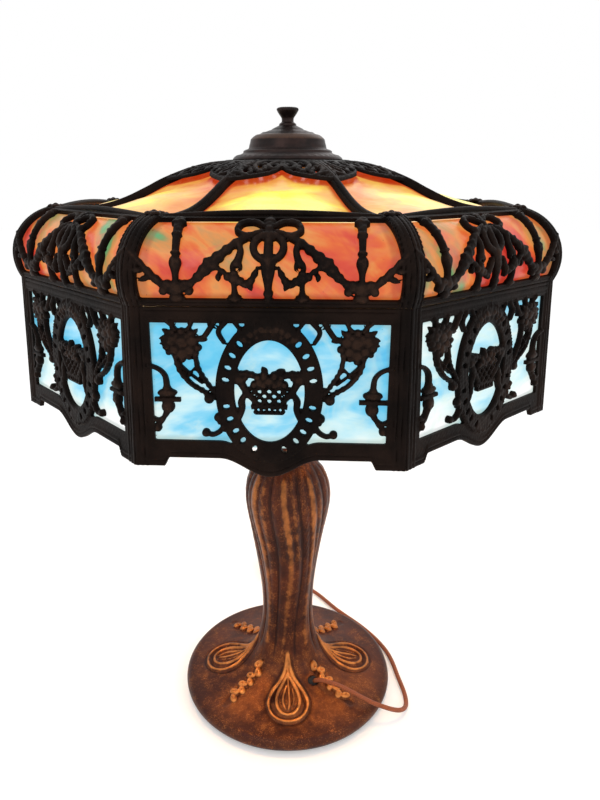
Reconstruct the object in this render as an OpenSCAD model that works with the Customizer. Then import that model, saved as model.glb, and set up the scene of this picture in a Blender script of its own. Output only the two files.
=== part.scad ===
// Table lamp with an eight-sided shade of bent art glass in an openwork metal frame.
// Origin: centre of the foot, on the surface that the lamp stands on. +Z is up.
// The front face of the shade looks along -Y. Every shade part is drawn for that face
// and turned round the axis by side_turn(i).

/* [Shade] */
// Number of glass sides
sides = 8; // [8:1:8]
// Widest size of the shade across its flats
shade_flats = 412; // [400:1:424]
// Height of the joint between the skirt and the shoulder
skirt_top_z = 445; // [441:1:449]
// Height of the skirt at its corners
skirt_h = 102; // [98:1:106]
// How much further out the skirt stands at its lower edge
skirt_flare = 4.6; // [3:0.1:6]
// Radius of the rounded shoulder
shoulder_r = 36; // [34:0.5:38]
// Thickness of the cast frames
frame_t = 2.5; // [2:0.1:3]
// Thickness of the glass
glass_t = 3; // [2.5:0.1:3.5]

/* [Crown] */
// Height of the underside of the crown cap
crown_z = 531; // [530:0.5:532]
// Radius of the crown cap at its flange
crown_r = 46; // [45:0.5:47]
// Overall height of the lamp
overall_h = 572; // [571:0.5:573]

/* [Stand] */
// Diameter of the foot
foot_d = 218; // [210:1:226]
// Largest diameter of the stem
stem_d = 80.6; // [76:0.2:84]
// Wall of the hollow casting
cast_wall = 4; // [3.5:0.5:4.5]

/* [Lights] */
// Upward tilt of each socket, in degrees
socket_tilt = 40; // [36:1:44]
// Height of the centre of the socket cluster
cluster_z = 325; // [322:1:328]

/* [Cord] */
// Diameter of the cord
cord_d = 4.5; // [4:0.1:4.6]

/* [Hidden] */
$fn = 64;
eps = 0.05;
half_angle = 180 / sides;
tan_half = tan(half_angle);

// Shoulder: one arc in the plane of each flat
eave_angle = 76;
joint_angle = -26;
shoulder_y = shade_flats / 2 - shoulder_r;
shoulder_z = skirt_top_z - shoulder_r * sin(joint_angle);
eave_y = shoulder_y + shoulder_r * cos(eave_angle);
eave_z = shoulder_z + shoulder_r * sin(eave_angle);
skirt_y = shoulder_y + shoulder_r * cos(joint_angle);
skirt_lean = atan(skirt_flare / skirt_h);
skirt_len = skirt_h / cos(skirt_lean);
glass_gap = 0.3;

// Widths of the cast borders
corner_border = 9;
joint_band = 9.5;
window_w = 148;
window_h = 75;

// Crown, rod and finial
ring_outer_r = 52;
ring_inner_r = 40;
spider_t = 4;
rod_r = 4.8;
rod_clear = 0.07;
stud_r = 3;
stud_clear = 0.06;
finial_z = 558;

// Stand
felt_t = 1.5;
pipe_r = 5;
pipe_bore = 3;
pipe_fit = 0.2;
neck_top_z = 300;
web_z = 38;
web_t = 4;
web_r = 33.5;
exit_r = 50;
exit_turn = 34.5;
exit_heading = 70;
exit_tilt = 58;
exit_z = 28;
bushing_r = 4.6;
bushing_len = 9;
bushing_proud = 1.5;
lead_r = 1.8;

// Foot and stem outline, outer face, as [radius, height]
stem_max = stem_d / 2;
foot_r = foot_d / 2;
roll_r = 7.5;
foot_top_z = felt_t + 2 * roll_r;
foot_outline = [[foot_r - 22, foot_top_z + 2.1], [72, 21.6], [54, 26.4], [42, 33]];
stem_outline = [
    [34.5, 42], [29, 56], [25.6, 76], [24.6, 95], [25.8, 120], [29.5, 150], [34.2, 180],
    [stem_max - 1.8, 203], [stem_max, 220], [stem_max - 1.6, 235], [33.5, 248]];
neck_outline = [[24, 260], [17, 270], [15, 282], [15.5, 292], [14, neck_top_z]];
outer_stations = concat([[foot_r - roll_r, foot_top_z]], foot_outline, stem_outline, neck_outline);
inner_stations = concat(
    [[foot_r - roll_r - 2, foot_top_z - 6]],
    [for (p = foot_outline) p - [1.4, cast_wall]],
    [for (p = stem_outline) p - [cast_wall, 1.5]],
    [[20, 256], [pipe_r + pipe_fit, 262]]);

// Free cord: it leaves the bushing, crosses the foot and lies round its right-hand side
cord_route = [
    [29.5, -41.6, 28.8], [34.4, -43.6, 31.6], [40.4, -46.4, 33.2], [48.5, -49.6, 33.6],
    [58, -53, 32.4], [68, -56.6, 29.8], [78, -59.8, 26.6], [88, -62.2, 23.2], [98, -63, 19.8],
    [107.5, -61.8, 15.6], [115.4, -57.8, 11], [121, -51.2, 7], [124.2, -42.8, 4],
    [125.2, -33, 2.5], [124.4, -22.4, 2.25], [122.4, -11.2, 2.25], [120.2, 0, 2.25],
    [118.2, 12, 2.25], [115.8, 24, 2.25], [112, 37, 2.25], [106, 50, 2.25], [98, 63.4, 2.25],
    [88.6, 76.4, 2.25], [77.8, 89, 2.25], [66, 101.4, 2.25], [54.6, 114, 2.25],
    [44.8, 126.4, 2.25], [35.4, 138.8, 2.25], [25.2, 150, 2.25], [13.8, 158.8, 2.25],
    [1.4, 164.2, 2.25], [-11, 166, 2.25]];
coil_x = -11;
coil_y = 195;
coil_mean_r = 24.5;
coil_columns = 3;
coil_layers = 3;
coil_half_w = coil_columns * cord_d / 2;
coil_h = coil_layers * cord_d;
// End of the cord: half a turn that rises from the top of the coil to the plug
tail_start_r = coil_mean_r - (coil_columns - 1) * cord_d / 2;
plug_r = 9;
plug_len = 26;
plug_z = coil_h + plug_r;
blade_len = 17;
tie_w = 7;
tie_t = 0.8;

bronze = [0.13, 0.09, 0.07];
copper = [0.42, 0.2, 0.1];
brass = [0.6, 0.48, 0.25];
steel = [0.55, 0.55, 0.55];

// ---- Curves -------------------------------------------------------------------------

function spline_point(a, b, c, d, t) =
    0.5 * (2 * b + (c - a) * t + (2 * a - 5 * b + 4 * c - d) * t * t
           + (3 * b - a - 3 * c + d) * t * t * t);

// Smooth curve through stations, with the given number of steps in each span
function smooth_curve(p, steps) = concat(
    [for (i = [0:len(p) - 2], k = [0:steps - 1])
        spline_point(p[max(i - 1, 0)], p[i], p[i + 1], p[min(i + 2, len(p) - 1)], k / steps)],
    [p[len(p) - 1]]);

function reversed(p) = [for (i = [len(p) - 1:-1:0]) p[i]];
function ellipse_points(a, b, n) = [for (i = [0:n - 1]) [a * cos(360 * i / n), b * sin(360 * i / n)]];
function arc_points(cx, cy, r, a0, a1, n) =
    [for (i = [0:n]) [cx + r * cos(a0 + (a1 - a0) * i / n), cy + r * sin(a0 + (a1 - a0) * i / n)]];

// Height of the roof over a distance of 0 at the crown to 1 at the eave: an ogee
roof_stations = [[0, 530], [0.13, 528.4], [0.26, 524], [0.4, 516.4], [0.5, 509.2], [0.61, 502],
                 [0.72, 497.2], [0.86, 494.6], [1, 494.2]];
roof_curve = smooth_curve(roof_stations, 3);
roof_inner_y = 42;
function roof_y(t) = roof_inner_y + t * (eave_y - roof_inner_y);

// ---- Helpers ------------------------------------------------------------------------

module side_turn(i) {
    rotate([0, 0, (i - 1) * 360 / sides]) children();
}

// Wedge that holds one side of the shade, with its two faces set in by inset
module side_wedge(inset, low, high) {
    far = 260;
    translate([0, 0, low])
        linear_extrude(height = high - low)
            polygon([[0, -inset / sin(half_angle)],
                     [far * tan_half - inset / cos(half_angle), -far],
                     [-far * tan_half + inset / cos(half_angle), -far]]);
}

// Turns a drawing in [distance from the axis, height] into a slab that runs across one side
module across_side(width) {
    rotate([90, 0, -90])
        linear_extrude(height = width, center = true) children();
}

// Raises a drawing in [sideways, height] out of the XZ plane towards -Y
module towards_front(depth) {
    rotate([90, 0, 0]) linear_extrude(height = depth) children();
}

module tube(r_out, r_in, h) {
    difference() {
        cylinder(r = r_out, h = h);
        translate([0, 0, -1]) cylinder(r = r_in, h = h + 2);
    }
}

module bar_2d(a, b, w) {
    d = b - a;
    translate(a) rotate(atan2(d[1], d[0])) translate([-w / 4, -w / 2]) square([norm(d) + w / 2, w]);
}

module path_2d(points, w) {
    for (i = [0:len(points) - 2]) bar_2d(points[i], points[i + 1], w);
}

module mirrored() {
    children();
    mirror([1, 0]) children();
}

// ---- Stand --------------------------------------------------------------------------

module base_casting() {
    outer = smooth_curve(outer_stations, 3);
    inner = smooth_curve(inner_stations, 3);
    roll = arc_points(foot_r - roll_r, felt_t + roll_r, roll_r, -90, 90, 10);
    color(copper)
    difference() {
        union() {
            rotate_extrude($fn = 96)
                polygon(concat(roll, [for (i = [1:len(outer) - 1]) outer[i]],
                               [[pipe_r + pipe_fit, neck_top_z], [pipe_r + pipe_fit, 262]],
                               reversed(inner),
                               [[foot_r - roll_r - 4, felt_t]]));
            translate([0, 0, web_z]) tube(web_r, pipe_r + pipe_fit, web_t);
        }
        exit_axis() cylinder(r = bushing_r, h = 40, center = true);
    }
}

// Carries its children to the cord hole, with +Z out of the hole
module exit_axis() {
    translate([exit_r * sin(exit_turn), -exit_r * cos(exit_turn), exit_z])
        rotate([0, 0, exit_heading - 90]) rotate([0, exit_tilt, 0]) children();
}

module felt_pad() {
    color([0.2, 0.24, 0.14]) tube(foot_r - roll_r + 1, 62, felt_t);
}

module center_pipe() {
    color(steel) translate([0, 0, 24]) tube(pipe_r, pipe_bore, neck_top_z + 19 - 24);
}

module pipe_washer() {
    color(steel) translate([0, 0, web_z - 2]) tube(15, pipe_r + 0.1, 2);
}

module pipe_locknut() {
    color(steel) translate([0, 0, web_z - 8])
        difference() {
            cylinder(r = 9.2, h = 6, $fn = 6);
            translate([0, 0, -1]) cylinder(r = pipe_r + 0.1, h = 8);
        }
}

module cord_bushing() {
    color([0.05, 0.05, 0.05]) exit_axis()
        translate([0, 0, bushing_proud - bushing_len])
            tube(bushing_r - 0.05, cord_d / 2 + 0.1, bushing_len);
}

// Round bar from a to b
module rod_between(a, b, r) {
    d = b - a;
    translate(a) rotate([0, acos(d[2] / norm(d)), atan2(d[1], d[0])]) cylinder(r = r, h = norm(d));
}

// Lead inside the foot: from the bushing to a knot below the pipe, and up inside it
module inner_lead() {
    knot = [0, 0, 16];
    color([0.3, 0.2, 0.1]) {
        rod_between([21.9, -37.1, 23.6], knot, lead_r);
        translate(knot) sphere(r = 2 * lead_r);
        translate(knot) cylinder(r = lead_r, h = 274);
    }
}

module neck_collar() {
    profile = [[pipe_r + pipe_fit, 0], [17, 0], [18.5, 2], [18.5, 4], [14, 6], [12.5, 9], [11, 12],
               [pipe_r + pipe_fit, 12]];
    color(brass) translate([0, 0, neck_top_z]) rotate_extrude() polygon(profile);
}

// ---- Lights -------------------------------------------------------------------------

// One light on each side, its axis rising from the centre of the cluster
module light(s) {
    translate([0, 0, cluster_z]) rotate([0, s * (90 - socket_tilt), 0]) children();
}

module each_light() {
    for (s = [1, -1]) light(s) children();
}

arm_end = 30;
shell_start = 36;
shell_end = 74;
liner_r = 13.38;
base_r = 13.3;
base_start = 52;
base_end = 80;

module cluster_body() {
    color(brass) difference() {
        union() {
            translate([0, 0, neck_top_z + 12]) cylinder(r1 = 9, r2 = 15, h = 5);
            translate([0, 0, neck_top_z + 17]) cylinder(r = 15, h = 16);
            translate([0, 0, neck_top_z + 33]) cylinder(r1 = 15, r2 = 8, h = 6);
            each_light() translate([0, 0, 8]) cylinder(r = 6, h = arm_end - 8);
        }
        translate([0, 0, neck_top_z + 11]) cylinder(r = pipe_r + pipe_fit, h = 9);
    }
}

module socket_caps() {
    color(brass) each_light()
        translate([0, 0, arm_end]) cylinder(r1 = 11, r2 = 18.5, h = shell_start - arm_end);
}

module socket_shells() {
    color(brass) {
        each_light() {
            translate([0, 0, shell_start]) tube(18.5, 17, shell_end - shell_start);
            translate([0, 0, shell_end - 4]) tube(20, 18.5, 4);
        }
        for (s = [1, -1]) chain_mouth(s);
    }
}

// Place where a pull chain leaves its socket
mouth_u = 50;
mouth_x = mouth_u * cos(socket_tilt) + 19.5 * sin(socket_tilt);
mouth_z = cluster_z + mouth_u * sin(socket_tilt) - 19.5 * cos(socket_tilt);

mouth_len = 14;

module chain_mouth(s) {
    translate([s * mouth_x, 0, mouth_z - 1 - mouth_len]) tube(3.6, 1.7, mouth_len);
}

module socket_liners() {
    color([0.85, 0.82, 0.75]) each_light()
        translate([0, 0, shell_start]) tube(16.9, liner_r, shell_end - shell_start - 3);
}

module bulb_base(s) {
    color(brass) light(s) difference() {
        translate([0, 0, base_start]) cylinder(r = base_r, h = base_end - base_start);
        translate([0, 0, base_start + 1]) cylinder(r = base_r - 1, h = base_end);
    }
}

// Hollow globe of blown glass
module bulb_globe(s) {
    centre = 131;
    outer = concat([[12.6, base_end], [14, 86]], arc_points(0, centre, 30, -62, 90, 16));
    inner = concat([[11.6, base_end], [13, 86]], arc_points(0, centre, 29, -62.6, 90, 16));
    color([1, 0.93, 0.75]) light(s) rotate_extrude() polygon(concat(outer, reversed(inner)));
}

chain_len = 62;

module pull_chain(s) {
    color(brass) translate([s * mouth_x, 0, 0]) {
        translate([0, 0, mouth_z - 3 - chain_len]) cylinder(r = 1.2, h = chain_len);
        translate([0, 0, mouth_z - 3 - chain_len - 9]) cylinder(r1 = 2.4, r2 = 4.2, h = 6);
        translate([0, 0, mouth_z - 3 - chain_len - 3]) cylinder(r1 = 4.2, r2 = 1.2, h = 3);
    }
}

module shade_rod() {
    shoulder = crown_z + 8;
    color(steel) {
        translate([0, 0, neck_top_z + 39]) cylinder(r = rod_r, h = shoulder - neck_top_z - 39);
        translate([0, 0, shoulder]) cylinder(r = stud_r, h = 567 - shoulder);
    }
}

module rest_nut() {
    color(brass) translate([0, 0, crown_z - spider_t - 8])
        difference() {
            cylinder(r = 9.5, h = 6, $fn = 6);
            translate([0, 0, -1]) cylinder(r = rod_r, h = 8);
        }
}

module rest_washer() {
    color(brass) translate([0, 0, crown_z - spider_t - 2]) tube(16, rod_r, 2);
}

// ---- Top of the shade ---------------------------------------------------------------

module finial() {
    profile = concat(
        [[stud_r + stud_clear, finial_z], [7.2, finial_z], [6.8, finial_z + 1.4]],
        [[5.2, 560.6], [4.9, 562], [5.2, 563.8], [6.4, 565.6], [8.4, 567.2]],
        [[8.9, 568.6], [8.5, 570], [7, 571.2], [5.4, overall_h], [0, overall_h]],
        [[0, 568.4], [stud_r + stud_clear, 568.4]]);
    color(bronze) rotate_extrude() polygon(profile);
}

module crown_cap() {
    skin = 1.6;
    outer = smooth_curve([[crown_r, crown_z], [44.4, 533.6], [37.4, 536.6], [36.2, 538.6], [32.8, 540],
             [31.8, 543.2], [30, 547], [25, 550.6], [17, 553.6], [11.5, 556], [7.4, 557.9]], 2);
    inner = [for (p = reversed(outer)) if (p[1] < 555) [p[0] - skin * 1.4, max(p[1] - skin, crown_z)]];
    color(bronze) rotate_extrude()
        polygon(concat(outer, [[stud_r + 0.4, 557.9], [stud_r + 0.4, 554.4], [9.5, 554]], inner));
}

module top_spider() {
    color(bronze) translate([0, 0, crown_z - spider_t]) {
        tube(16, rod_r + rod_clear, spider_t);
        tube(ring_outer_r, ring_inner_r, spider_t);
        for (i = [0:3]) rotate([0, 0, 45 + 90 * i])
            translate([14, -4, 0]) cube([ring_inner_r - 12, 8, spider_t]);
    }
}

// ---- Roof ---------------------------------------------------------------------------

rib_w = 7;
rib_h = 5;
// The eave bar ends just inside the top edge of the shoulder
eave_bar_y = eave_y - 0.8;

// A band under the ogee, drop_top to drop_bottom below it, stretched sideways by k
module roof_band(k, drop_top, drop_bottom, t0, t1) {
    part = [for (p = roof_curve) if (p[0] >= t0 && p[0] <= t1) p];
    polygon(concat([for (p = part) [roof_y(p[0]) * k, p[1] - drop_top]],
                   [for (p = reversed(part)) [roof_y(p[0]) * k, p[1] - drop_bottom]]));
}

module roof_frame() {
    color(bronze) {
        intersection() {
            for (i = [1:sides]) side_turn(i) rotate([0, 0, half_angle]) rotate([90, 0, -90])
                linear_extrude(height = rib_w, center = true)
                    roof_band(1 / cos(half_angle), 0, rib_h, 0.06, 1);
            rotate([0, 0, half_angle])
                translate([0, 0, 480]) cylinder(r = eave_bar_y / cos(half_angle), h = 60, $fn = sides);
        }
        for (i = [1:sides]) side_turn(i) intersection() {
            side_wedge(0, eave_z - 12, eave_z + 4);
            across_side(180) translate([eave_bar_y - 6.5, 494.2 - rib_h]) square([6.5, rib_h + 1.2]);
        }
        translate([0, 0, crown_z - 6]) tube(ring_outer_r + 6, ring_outer_r + 0.1, 5);
    }
}

module roof_glass(i) {
    color([0.95, 0.75, 0.35]) side_turn(i)
        intersection() {
            side_wedge(1.2, 470, 540);
            across_side(190) roof_band(1, rib_h + 0.4, rib_h + 0.4 + glass_t, 0.14, 0.95);
        }
}

// Pierced trim at the top of each roof side: its lower edge is a pointed arch
module filigree_2d() {
    outer_y = 77;
    peak_y = 61;
    difference() {
        polygon([[-36, -outer_y - 2], [-24, -outer_y + 3], [-10, -peak_y - 5], [0, -peak_y],
                 [10, -peak_y - 5], [24, -outer_y + 3], [36, -outer_y - 2], [24, -57], [-24, -57]]);
        mirrored() {
            for (p = [[15, -65], [20, -71], [25, -69], [26, -76]])
                translate(p) circle(r = 1.9, $fn = 24);
        }
    }
}

module roof_filigree() {
    color(bronze)
        for (i = [1:sides]) side_turn(i)
            intersection() {
                side_wedge(rib_w / 2 + 0.1, 500, 535);
                across_side(120) roof_band(1, 1, 3, 0.1, 0.4);
                translate([0, 0, 500]) linear_extrude(height = 40) filigree_2d();
            }
}

// Leaf ornament where a roof rib meets the shoulder, one at each corner
module corner_rosettes() {
    color(bronze) for (i = [1:sides]) side_turn(i) rotate([0, 0, half_angle])
        translate([0, -eave_y / cos(half_angle) + 5, eave_z + 0.1]) {
            cylinder(r1 = 7, r2 = 5.4, h = 2.4);
            translate([0, 0, 2.4]) cylinder(r1 = 3.6, r2 = 1.6, h = 1.4);
            translate([0, 9, 0]) cylinder(r1 = 4, r2 = 2.6, h = 2);
        }
}

// ---- Shoulder -----------------------------------------------------------------------

module shoulder_band(r_out, r_in, a0, a1) {
    polygon(concat(arc_points(shoulder_y, shoulder_z, r_out, a0, a1, 16),
                   reversed(arc_points(shoulder_y, shoulder_z, r_in, a0, a1, 16))));
}

// Ribbon bow, swags and straps, drawn in [sideways, height]
module shoulder_ornament_2d() {
    low = skirt_top_z + 5;
    high = eave_z;
    strap_x = 52;
    circle_z = low + 27;
    translate([0, circle_z]) difference() {
        circle(r = 10);
        circle(r = 6.5);
    }
    bar_2d([0, low], [0, high], 3);
    mirrored() {
        bar_2d([strap_x, low], [strap_x, high], 4);
        translate([strap_x, low + 4]) circle(r = 7);
        translate([13, high - 8]) difference() {
            circle(r = 7);
            circle(r = 4);
        }
        path_2d([[18, high - 12], [28, circle_z - 2], [38, low + 14], [48, low + 6]], 5);
        path_2d([[56, low + 6], [66, low + 16], [78, low + 26]], 4);
        path_2d([[4, circle_z - 10], [14, low + 10], [20, low + 8], [28, circle_z - 8]], 3);
        bar_2d([19, low], [19, low + 9], 4);
    }
}

module shoulder_frame() {
    difference() {
        intersection() {
            side_wedge(eps, 430, 510);
            across_side(180) shoulder_band(shoulder_r, shoulder_r - frame_t, joint_angle, eave_angle);
        }
        difference() {
            side_wedge(corner_border, 430, 489);
            translate([-100, -230, 430]) cube([200, 100, skirt_top_z + 5 - 430]);
            translate([0, -150, 0]) towards_front(80) shoulder_ornament_2d();
        }
    }
}

module shoulder_frames() {
    color(bronze) for (i = [1:sides]) side_turn(i) shoulder_frame();
}

module shoulder_glass(i) {
    outer = shoulder_r - frame_t - glass_gap;
    color([0.9, 0.5, 0.3]) side_turn(i)
        intersection() {
            side_wedge(1.2, 430, 510);
            across_side(190) shoulder_band(outer, outer - glass_t, joint_angle + 4, eave_angle - 6);
        }
}

// ---- Skirt --------------------------------------------------------------------------

// Carries a drawing in [sideways, height above the joint] to the outer face of the skirt
module on_skirt() {
    translate([0, -skirt_y, skirt_top_z]) rotate([-skirt_lean, 0, 0]) children();
}

half_top = skirt_y * tan_half;
half_low = (skirt_y + skirt_flare) * tan_half;
straight_z = -skirt_len + 6;
drop_z = -skirt_len - 6;
drop_half_w = 32;
oval_z = -joint_band - 42.5;

// Outline of one skirt frame: straight top, corner feet and a drop at the middle
module skirt_outline_2d() {
    fall = (drop_z - straight_z) / 2;
    wave = [for (k = [0:12]) [drop_half_w * (k / 6 - 1), straight_z + fall * (1 - cos(30 * k))]];
    polygon(concat([[-half_top, -0.1], [-half_low - 0.4, -skirt_len], [-half_low + 16, -skirt_len],
                    [-half_low + 21, straight_z]], wave,
                   [[half_low - 21, straight_z], [half_low - 16, -skirt_len],
                    [half_low + 0.4, -skirt_len], [half_top, -0.1]]));
}

module ring_holes_2d() {
    for (a = [-62:17.5:250]) if (abs(a) > 9 && abs(a - 180) > 9 && abs(a - 90) > 22)
        translate([27.5 * cos(a), 39.5 * sin(a)]) circle(r = 2, $fn = 20);
}

// Basket of fruit, oval ring, urns, candle brackets and scrolls
module skirt_ornament_2d() {
    translate([0, oval_z]) {
        difference() {
            polygon(ellipse_points(33.3, 46.5, 48));
            polygon(ellipse_points(21.7, 32.5, 48));
            ring_holes_2d();
        }
        translate([0, -9]) {
            polygon([[-11, -6], [-8, -13], [8, -13], [11, -6], [11, 0], [-11, 0]]);
            for (x = [-8, 0, 8]) translate([x, 3]) circle(r = 6, $fn = 32);
            mirrored() path_2d([[8, 6], [15, 8], [20, 9]], 4);
            mirrored() path_2d([[15, 8], [15, -6], [20, -16]], 4);
        }
    }
    mirrored() {
        translate([52, -joint_band - 16]) circle(r = 11.5, $fn = 40);
        path_2d([[47, -joint_band - 24], [43, -joint_band - 36], [33, -joint_band - 46]], 3);
        path_2d([[58, -joint_band - 24], [52, -joint_band - 38], [36, -joint_band - 48]], 3);
        path_2d([[46, -joint_band - 6], [38, 0]], 3);
        path_2d([[56, -joint_band - 6], [60, 0]], 3);
        translate([36, -joint_band - 48]) circle(r = 4, $fn = 24);
        path_2d([[76, -joint_band - 28], [66, -joint_band - 32], [65, -joint_band - 44]], 3.6);
        translate([57, -joint_band - 50]) square([20, 3.2]);
        translate([65.5, -joint_band - 46]) circle(r = 5.5, $fn = 32);
        path_2d([[65, -joint_band - 52], [66, -joint_band - 62], [75, -joint_band - 70]], 5);
        path_2d([[32, -joint_band - 62], [35, -joint_band - 70], [42, -joint_band - 74]], 3.4);
        translate([32.5, -joint_band - 61]) circle(r = 3.4, $fn = 24);
        translate([43, -joint_band - 72]) circle(r = 3.4, $fn = 24);
    }
}

module skirt_frame() {
    intersection() {
        side_wedge(eps, 320, skirt_top_z - 0.2);
        union() {
            on_skirt() translate([0, frame_t, 0]) towards_front(frame_t) {
                difference() {
                    skirt_outline_2d();
                    translate([-window_w / 2, -joint_band - window_h]) square([window_w, window_h]);
                }
                intersection() {
                    skirt_ornament_2d();
                    skirt_outline_2d();
                }
            }
            on_skirt() border_flutes();
        }
    }
}

module skirt_frames() {
    color(bronze) for (i = [1:sides]) side_turn(i) skirt_frame();
}

// Raised flutes that run down both corner borders
module border_flutes() {
    for (s = [1, -1], k = [0:2])
        translate([0, 0.5, 0]) towards_front(1.7)
            polygon([
                [s * (half_top - 1.2 - 3 * k), -0.1], [s * (half_low - 1.4 - 4 * k), -skirt_len + 1],
                [s * (half_low - 3.4 - 4 * k), -skirt_len + 1], [s * (half_top - 2.8 - 3 * k), -0.1]]);
}

module skirt_glass(i) {
    color([0.55, 0.8, 0.9]) side_turn(i)
        intersection() {
            side_wedge(1.2, 320, skirt_top_z);
            on_skirt() translate([0, frame_t + glass_gap + glass_t, 0]) towards_front(glass_t)
                translate([-90, -joint_band - window_h - 5]) square([180, window_h + 9]);
        }
}

// ---- Cord ---------------------------------------------------------------------------

function unit(v) = v / norm(v);
function ring_at(p, tangent, r, n) =
    let (side = unit(cross(tangent, [0, 0, 1])), up = cross(side, tangent))
    [for (k = [0:n - 1]) p + r * (cos(360 * k / n) * side + sin(360 * k / n) * up)];

// A closed tube along points
module swept_tube(points, r, n) {
    last = len(points) - 1;
    rings = [for (i = [0:last])
        ring_at(points[i], unit(points[min(i + 1, last)] - points[max(i - 1, 0)]), r, n)];
    polyhedron(
        points = [for (ring = rings) each ring],
        faces = concat([[for (k = [0:n - 1]) k]],
            [for (i = [0:last - 1], k = [0:n - 1])
                [i * n + k, (i + 1) * n + k, (i + 1) * n + (k + 1) % n, i * n + (k + 1) % n]],
            [[for (k = [n - 1:-1:0]) last * n + k]]));
}

module cord() {
    color([0.35, 0.18, 0.08]) swept_tube(smooth_curve(cord_route, 2), cord_d / 2, 8);
}

// Half a turn on top of the coil, clockwise from its right-hand side to its left
function tail_rise(k) = 3 * k * k - 2 * k * k * k;
function tail_point(k) =
    let (r = tail_start_r + cord_d * tail_rise(k), rise = (plug_z - coil_h + cord_d / 2) * tail_rise(k))
    [coil_x + r * cos(-180 * k), coil_y + r * sin(-180 * k), coil_h - cord_d / 2 + rise];

module cord_tail() {
    color([0.35, 0.18, 0.08]) swept_tube([for (k = [0:12]) tail_point(k / 12)], cord_d / 2, 8);
}

module on_plug_axis() {
    translate([coil_x - coil_mean_r, coil_y, plug_z]) rotate([-90, 0, 0]) children();
}

module plug_body() {
    color([0.08, 0.06, 0.05]) on_plug_axis() {
        cylinder(r1 = 3.4, r2 = plug_r, h = 12);
        translate([0, 0, 12]) cylinder(r = plug_r, h = plug_len - 12);
    }
}

module plug_blades() {
    color(brass) on_plug_axis()
        for (s = [-6.3, 6.3]) translate([s - 0.75, -3.2, plug_len]) cube([1.5, 6.4, blade_len]);
}

// Band round the turns at the back of the coil
module coil_tie() {
    color([0.1, 0.1, 0.1]) translate([coil_x - tie_w / 2, coil_y + coil_mean_r, 0])
        difference() {
            translate([0, -coil_half_w - tie_t, 0])
                cube([tie_w, 2 * (coil_half_w + tie_t), coil_h + tie_t]);
            translate([-1, -coil_half_w - 0.01, tie_t])
                cube([tie_w + 2, 2 * coil_half_w + 0.02, coil_h - tie_t + 0.01]);
        }
}

module cord_coil() {
    color([0.35, 0.18, 0.08]) translate([coil_x, coil_y, 0])
        rotate_extrude()
            translate([coil_mean_r - coil_half_w, 0]) square([2 * coil_half_w, coil_h]);
}

// ---- All the nodes ------------------------------------------------------------------

base_casting();
felt_pad();
center_pipe();
pipe_washer();
pipe_locknut();
cord_bushing();
inner_lead();
neck_collar();
cluster_body();
socket_caps();
socket_shells();
socket_liners();
bulb_base(-1);  // bulb_base_left
bulb_base(1);  // bulb_base_right
bulb_globe(-1);  // bulb_globe_left
bulb_globe(1);  // bulb_globe_right
shade_rod();
rest_nut();
rest_washer();
pull_chain(-1);  // pull_chain_left
pull_chain(1);  // pull_chain_right
finial();
crown_cap();
top_spider();
roof_frame();
roof_filigree();
corner_rosettes();
shoulder_frames();
skirt_frames();
for (i = [1:sides]) {
    roof_glass(i);
    shoulder_glass(i);
    skirt_glass(i);
}
cord();
cord_coil();
cord_tail();
coil_tie();
plug_body();
plug_blades();
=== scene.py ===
import math

import bpy
import numpy as np
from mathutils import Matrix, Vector


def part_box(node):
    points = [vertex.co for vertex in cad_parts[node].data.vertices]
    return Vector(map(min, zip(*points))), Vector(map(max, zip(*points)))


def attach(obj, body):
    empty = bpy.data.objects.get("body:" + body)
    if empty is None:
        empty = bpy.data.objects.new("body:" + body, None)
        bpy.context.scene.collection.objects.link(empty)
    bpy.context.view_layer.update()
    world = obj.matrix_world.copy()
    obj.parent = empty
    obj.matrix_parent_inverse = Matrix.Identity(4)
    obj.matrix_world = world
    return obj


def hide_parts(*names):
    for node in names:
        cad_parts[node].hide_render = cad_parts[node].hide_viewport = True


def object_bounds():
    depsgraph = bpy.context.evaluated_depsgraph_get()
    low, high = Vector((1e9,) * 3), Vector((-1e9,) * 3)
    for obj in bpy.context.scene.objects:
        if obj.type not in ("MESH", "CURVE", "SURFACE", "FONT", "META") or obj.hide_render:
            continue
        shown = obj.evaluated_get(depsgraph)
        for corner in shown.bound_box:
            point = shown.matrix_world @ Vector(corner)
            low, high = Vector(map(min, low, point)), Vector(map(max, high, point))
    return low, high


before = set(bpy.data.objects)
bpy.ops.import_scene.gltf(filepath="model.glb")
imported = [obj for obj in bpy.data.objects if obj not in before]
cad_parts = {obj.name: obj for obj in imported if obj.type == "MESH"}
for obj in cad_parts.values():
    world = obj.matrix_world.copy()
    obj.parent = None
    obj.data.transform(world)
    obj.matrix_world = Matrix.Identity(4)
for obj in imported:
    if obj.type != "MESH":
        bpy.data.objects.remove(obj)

bl_info = {
    "name": "Panel Lamp Maker",
    "version": (1, 0, 0),
    "blender": (4, 5, 0),
    "location": "View3D > Sidebar > Lamp",
    "description": "Builds a lit art-glass panel lamp round its packed frame",
    "category": "Add Mesh",
}

MM = 0.001
CAD_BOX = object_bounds()
STAND_COLUMNS, CROWN_COLUMNS, CORD_SIDES, QUICK_COARSER = 440, 300, 12, 1.6

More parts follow.
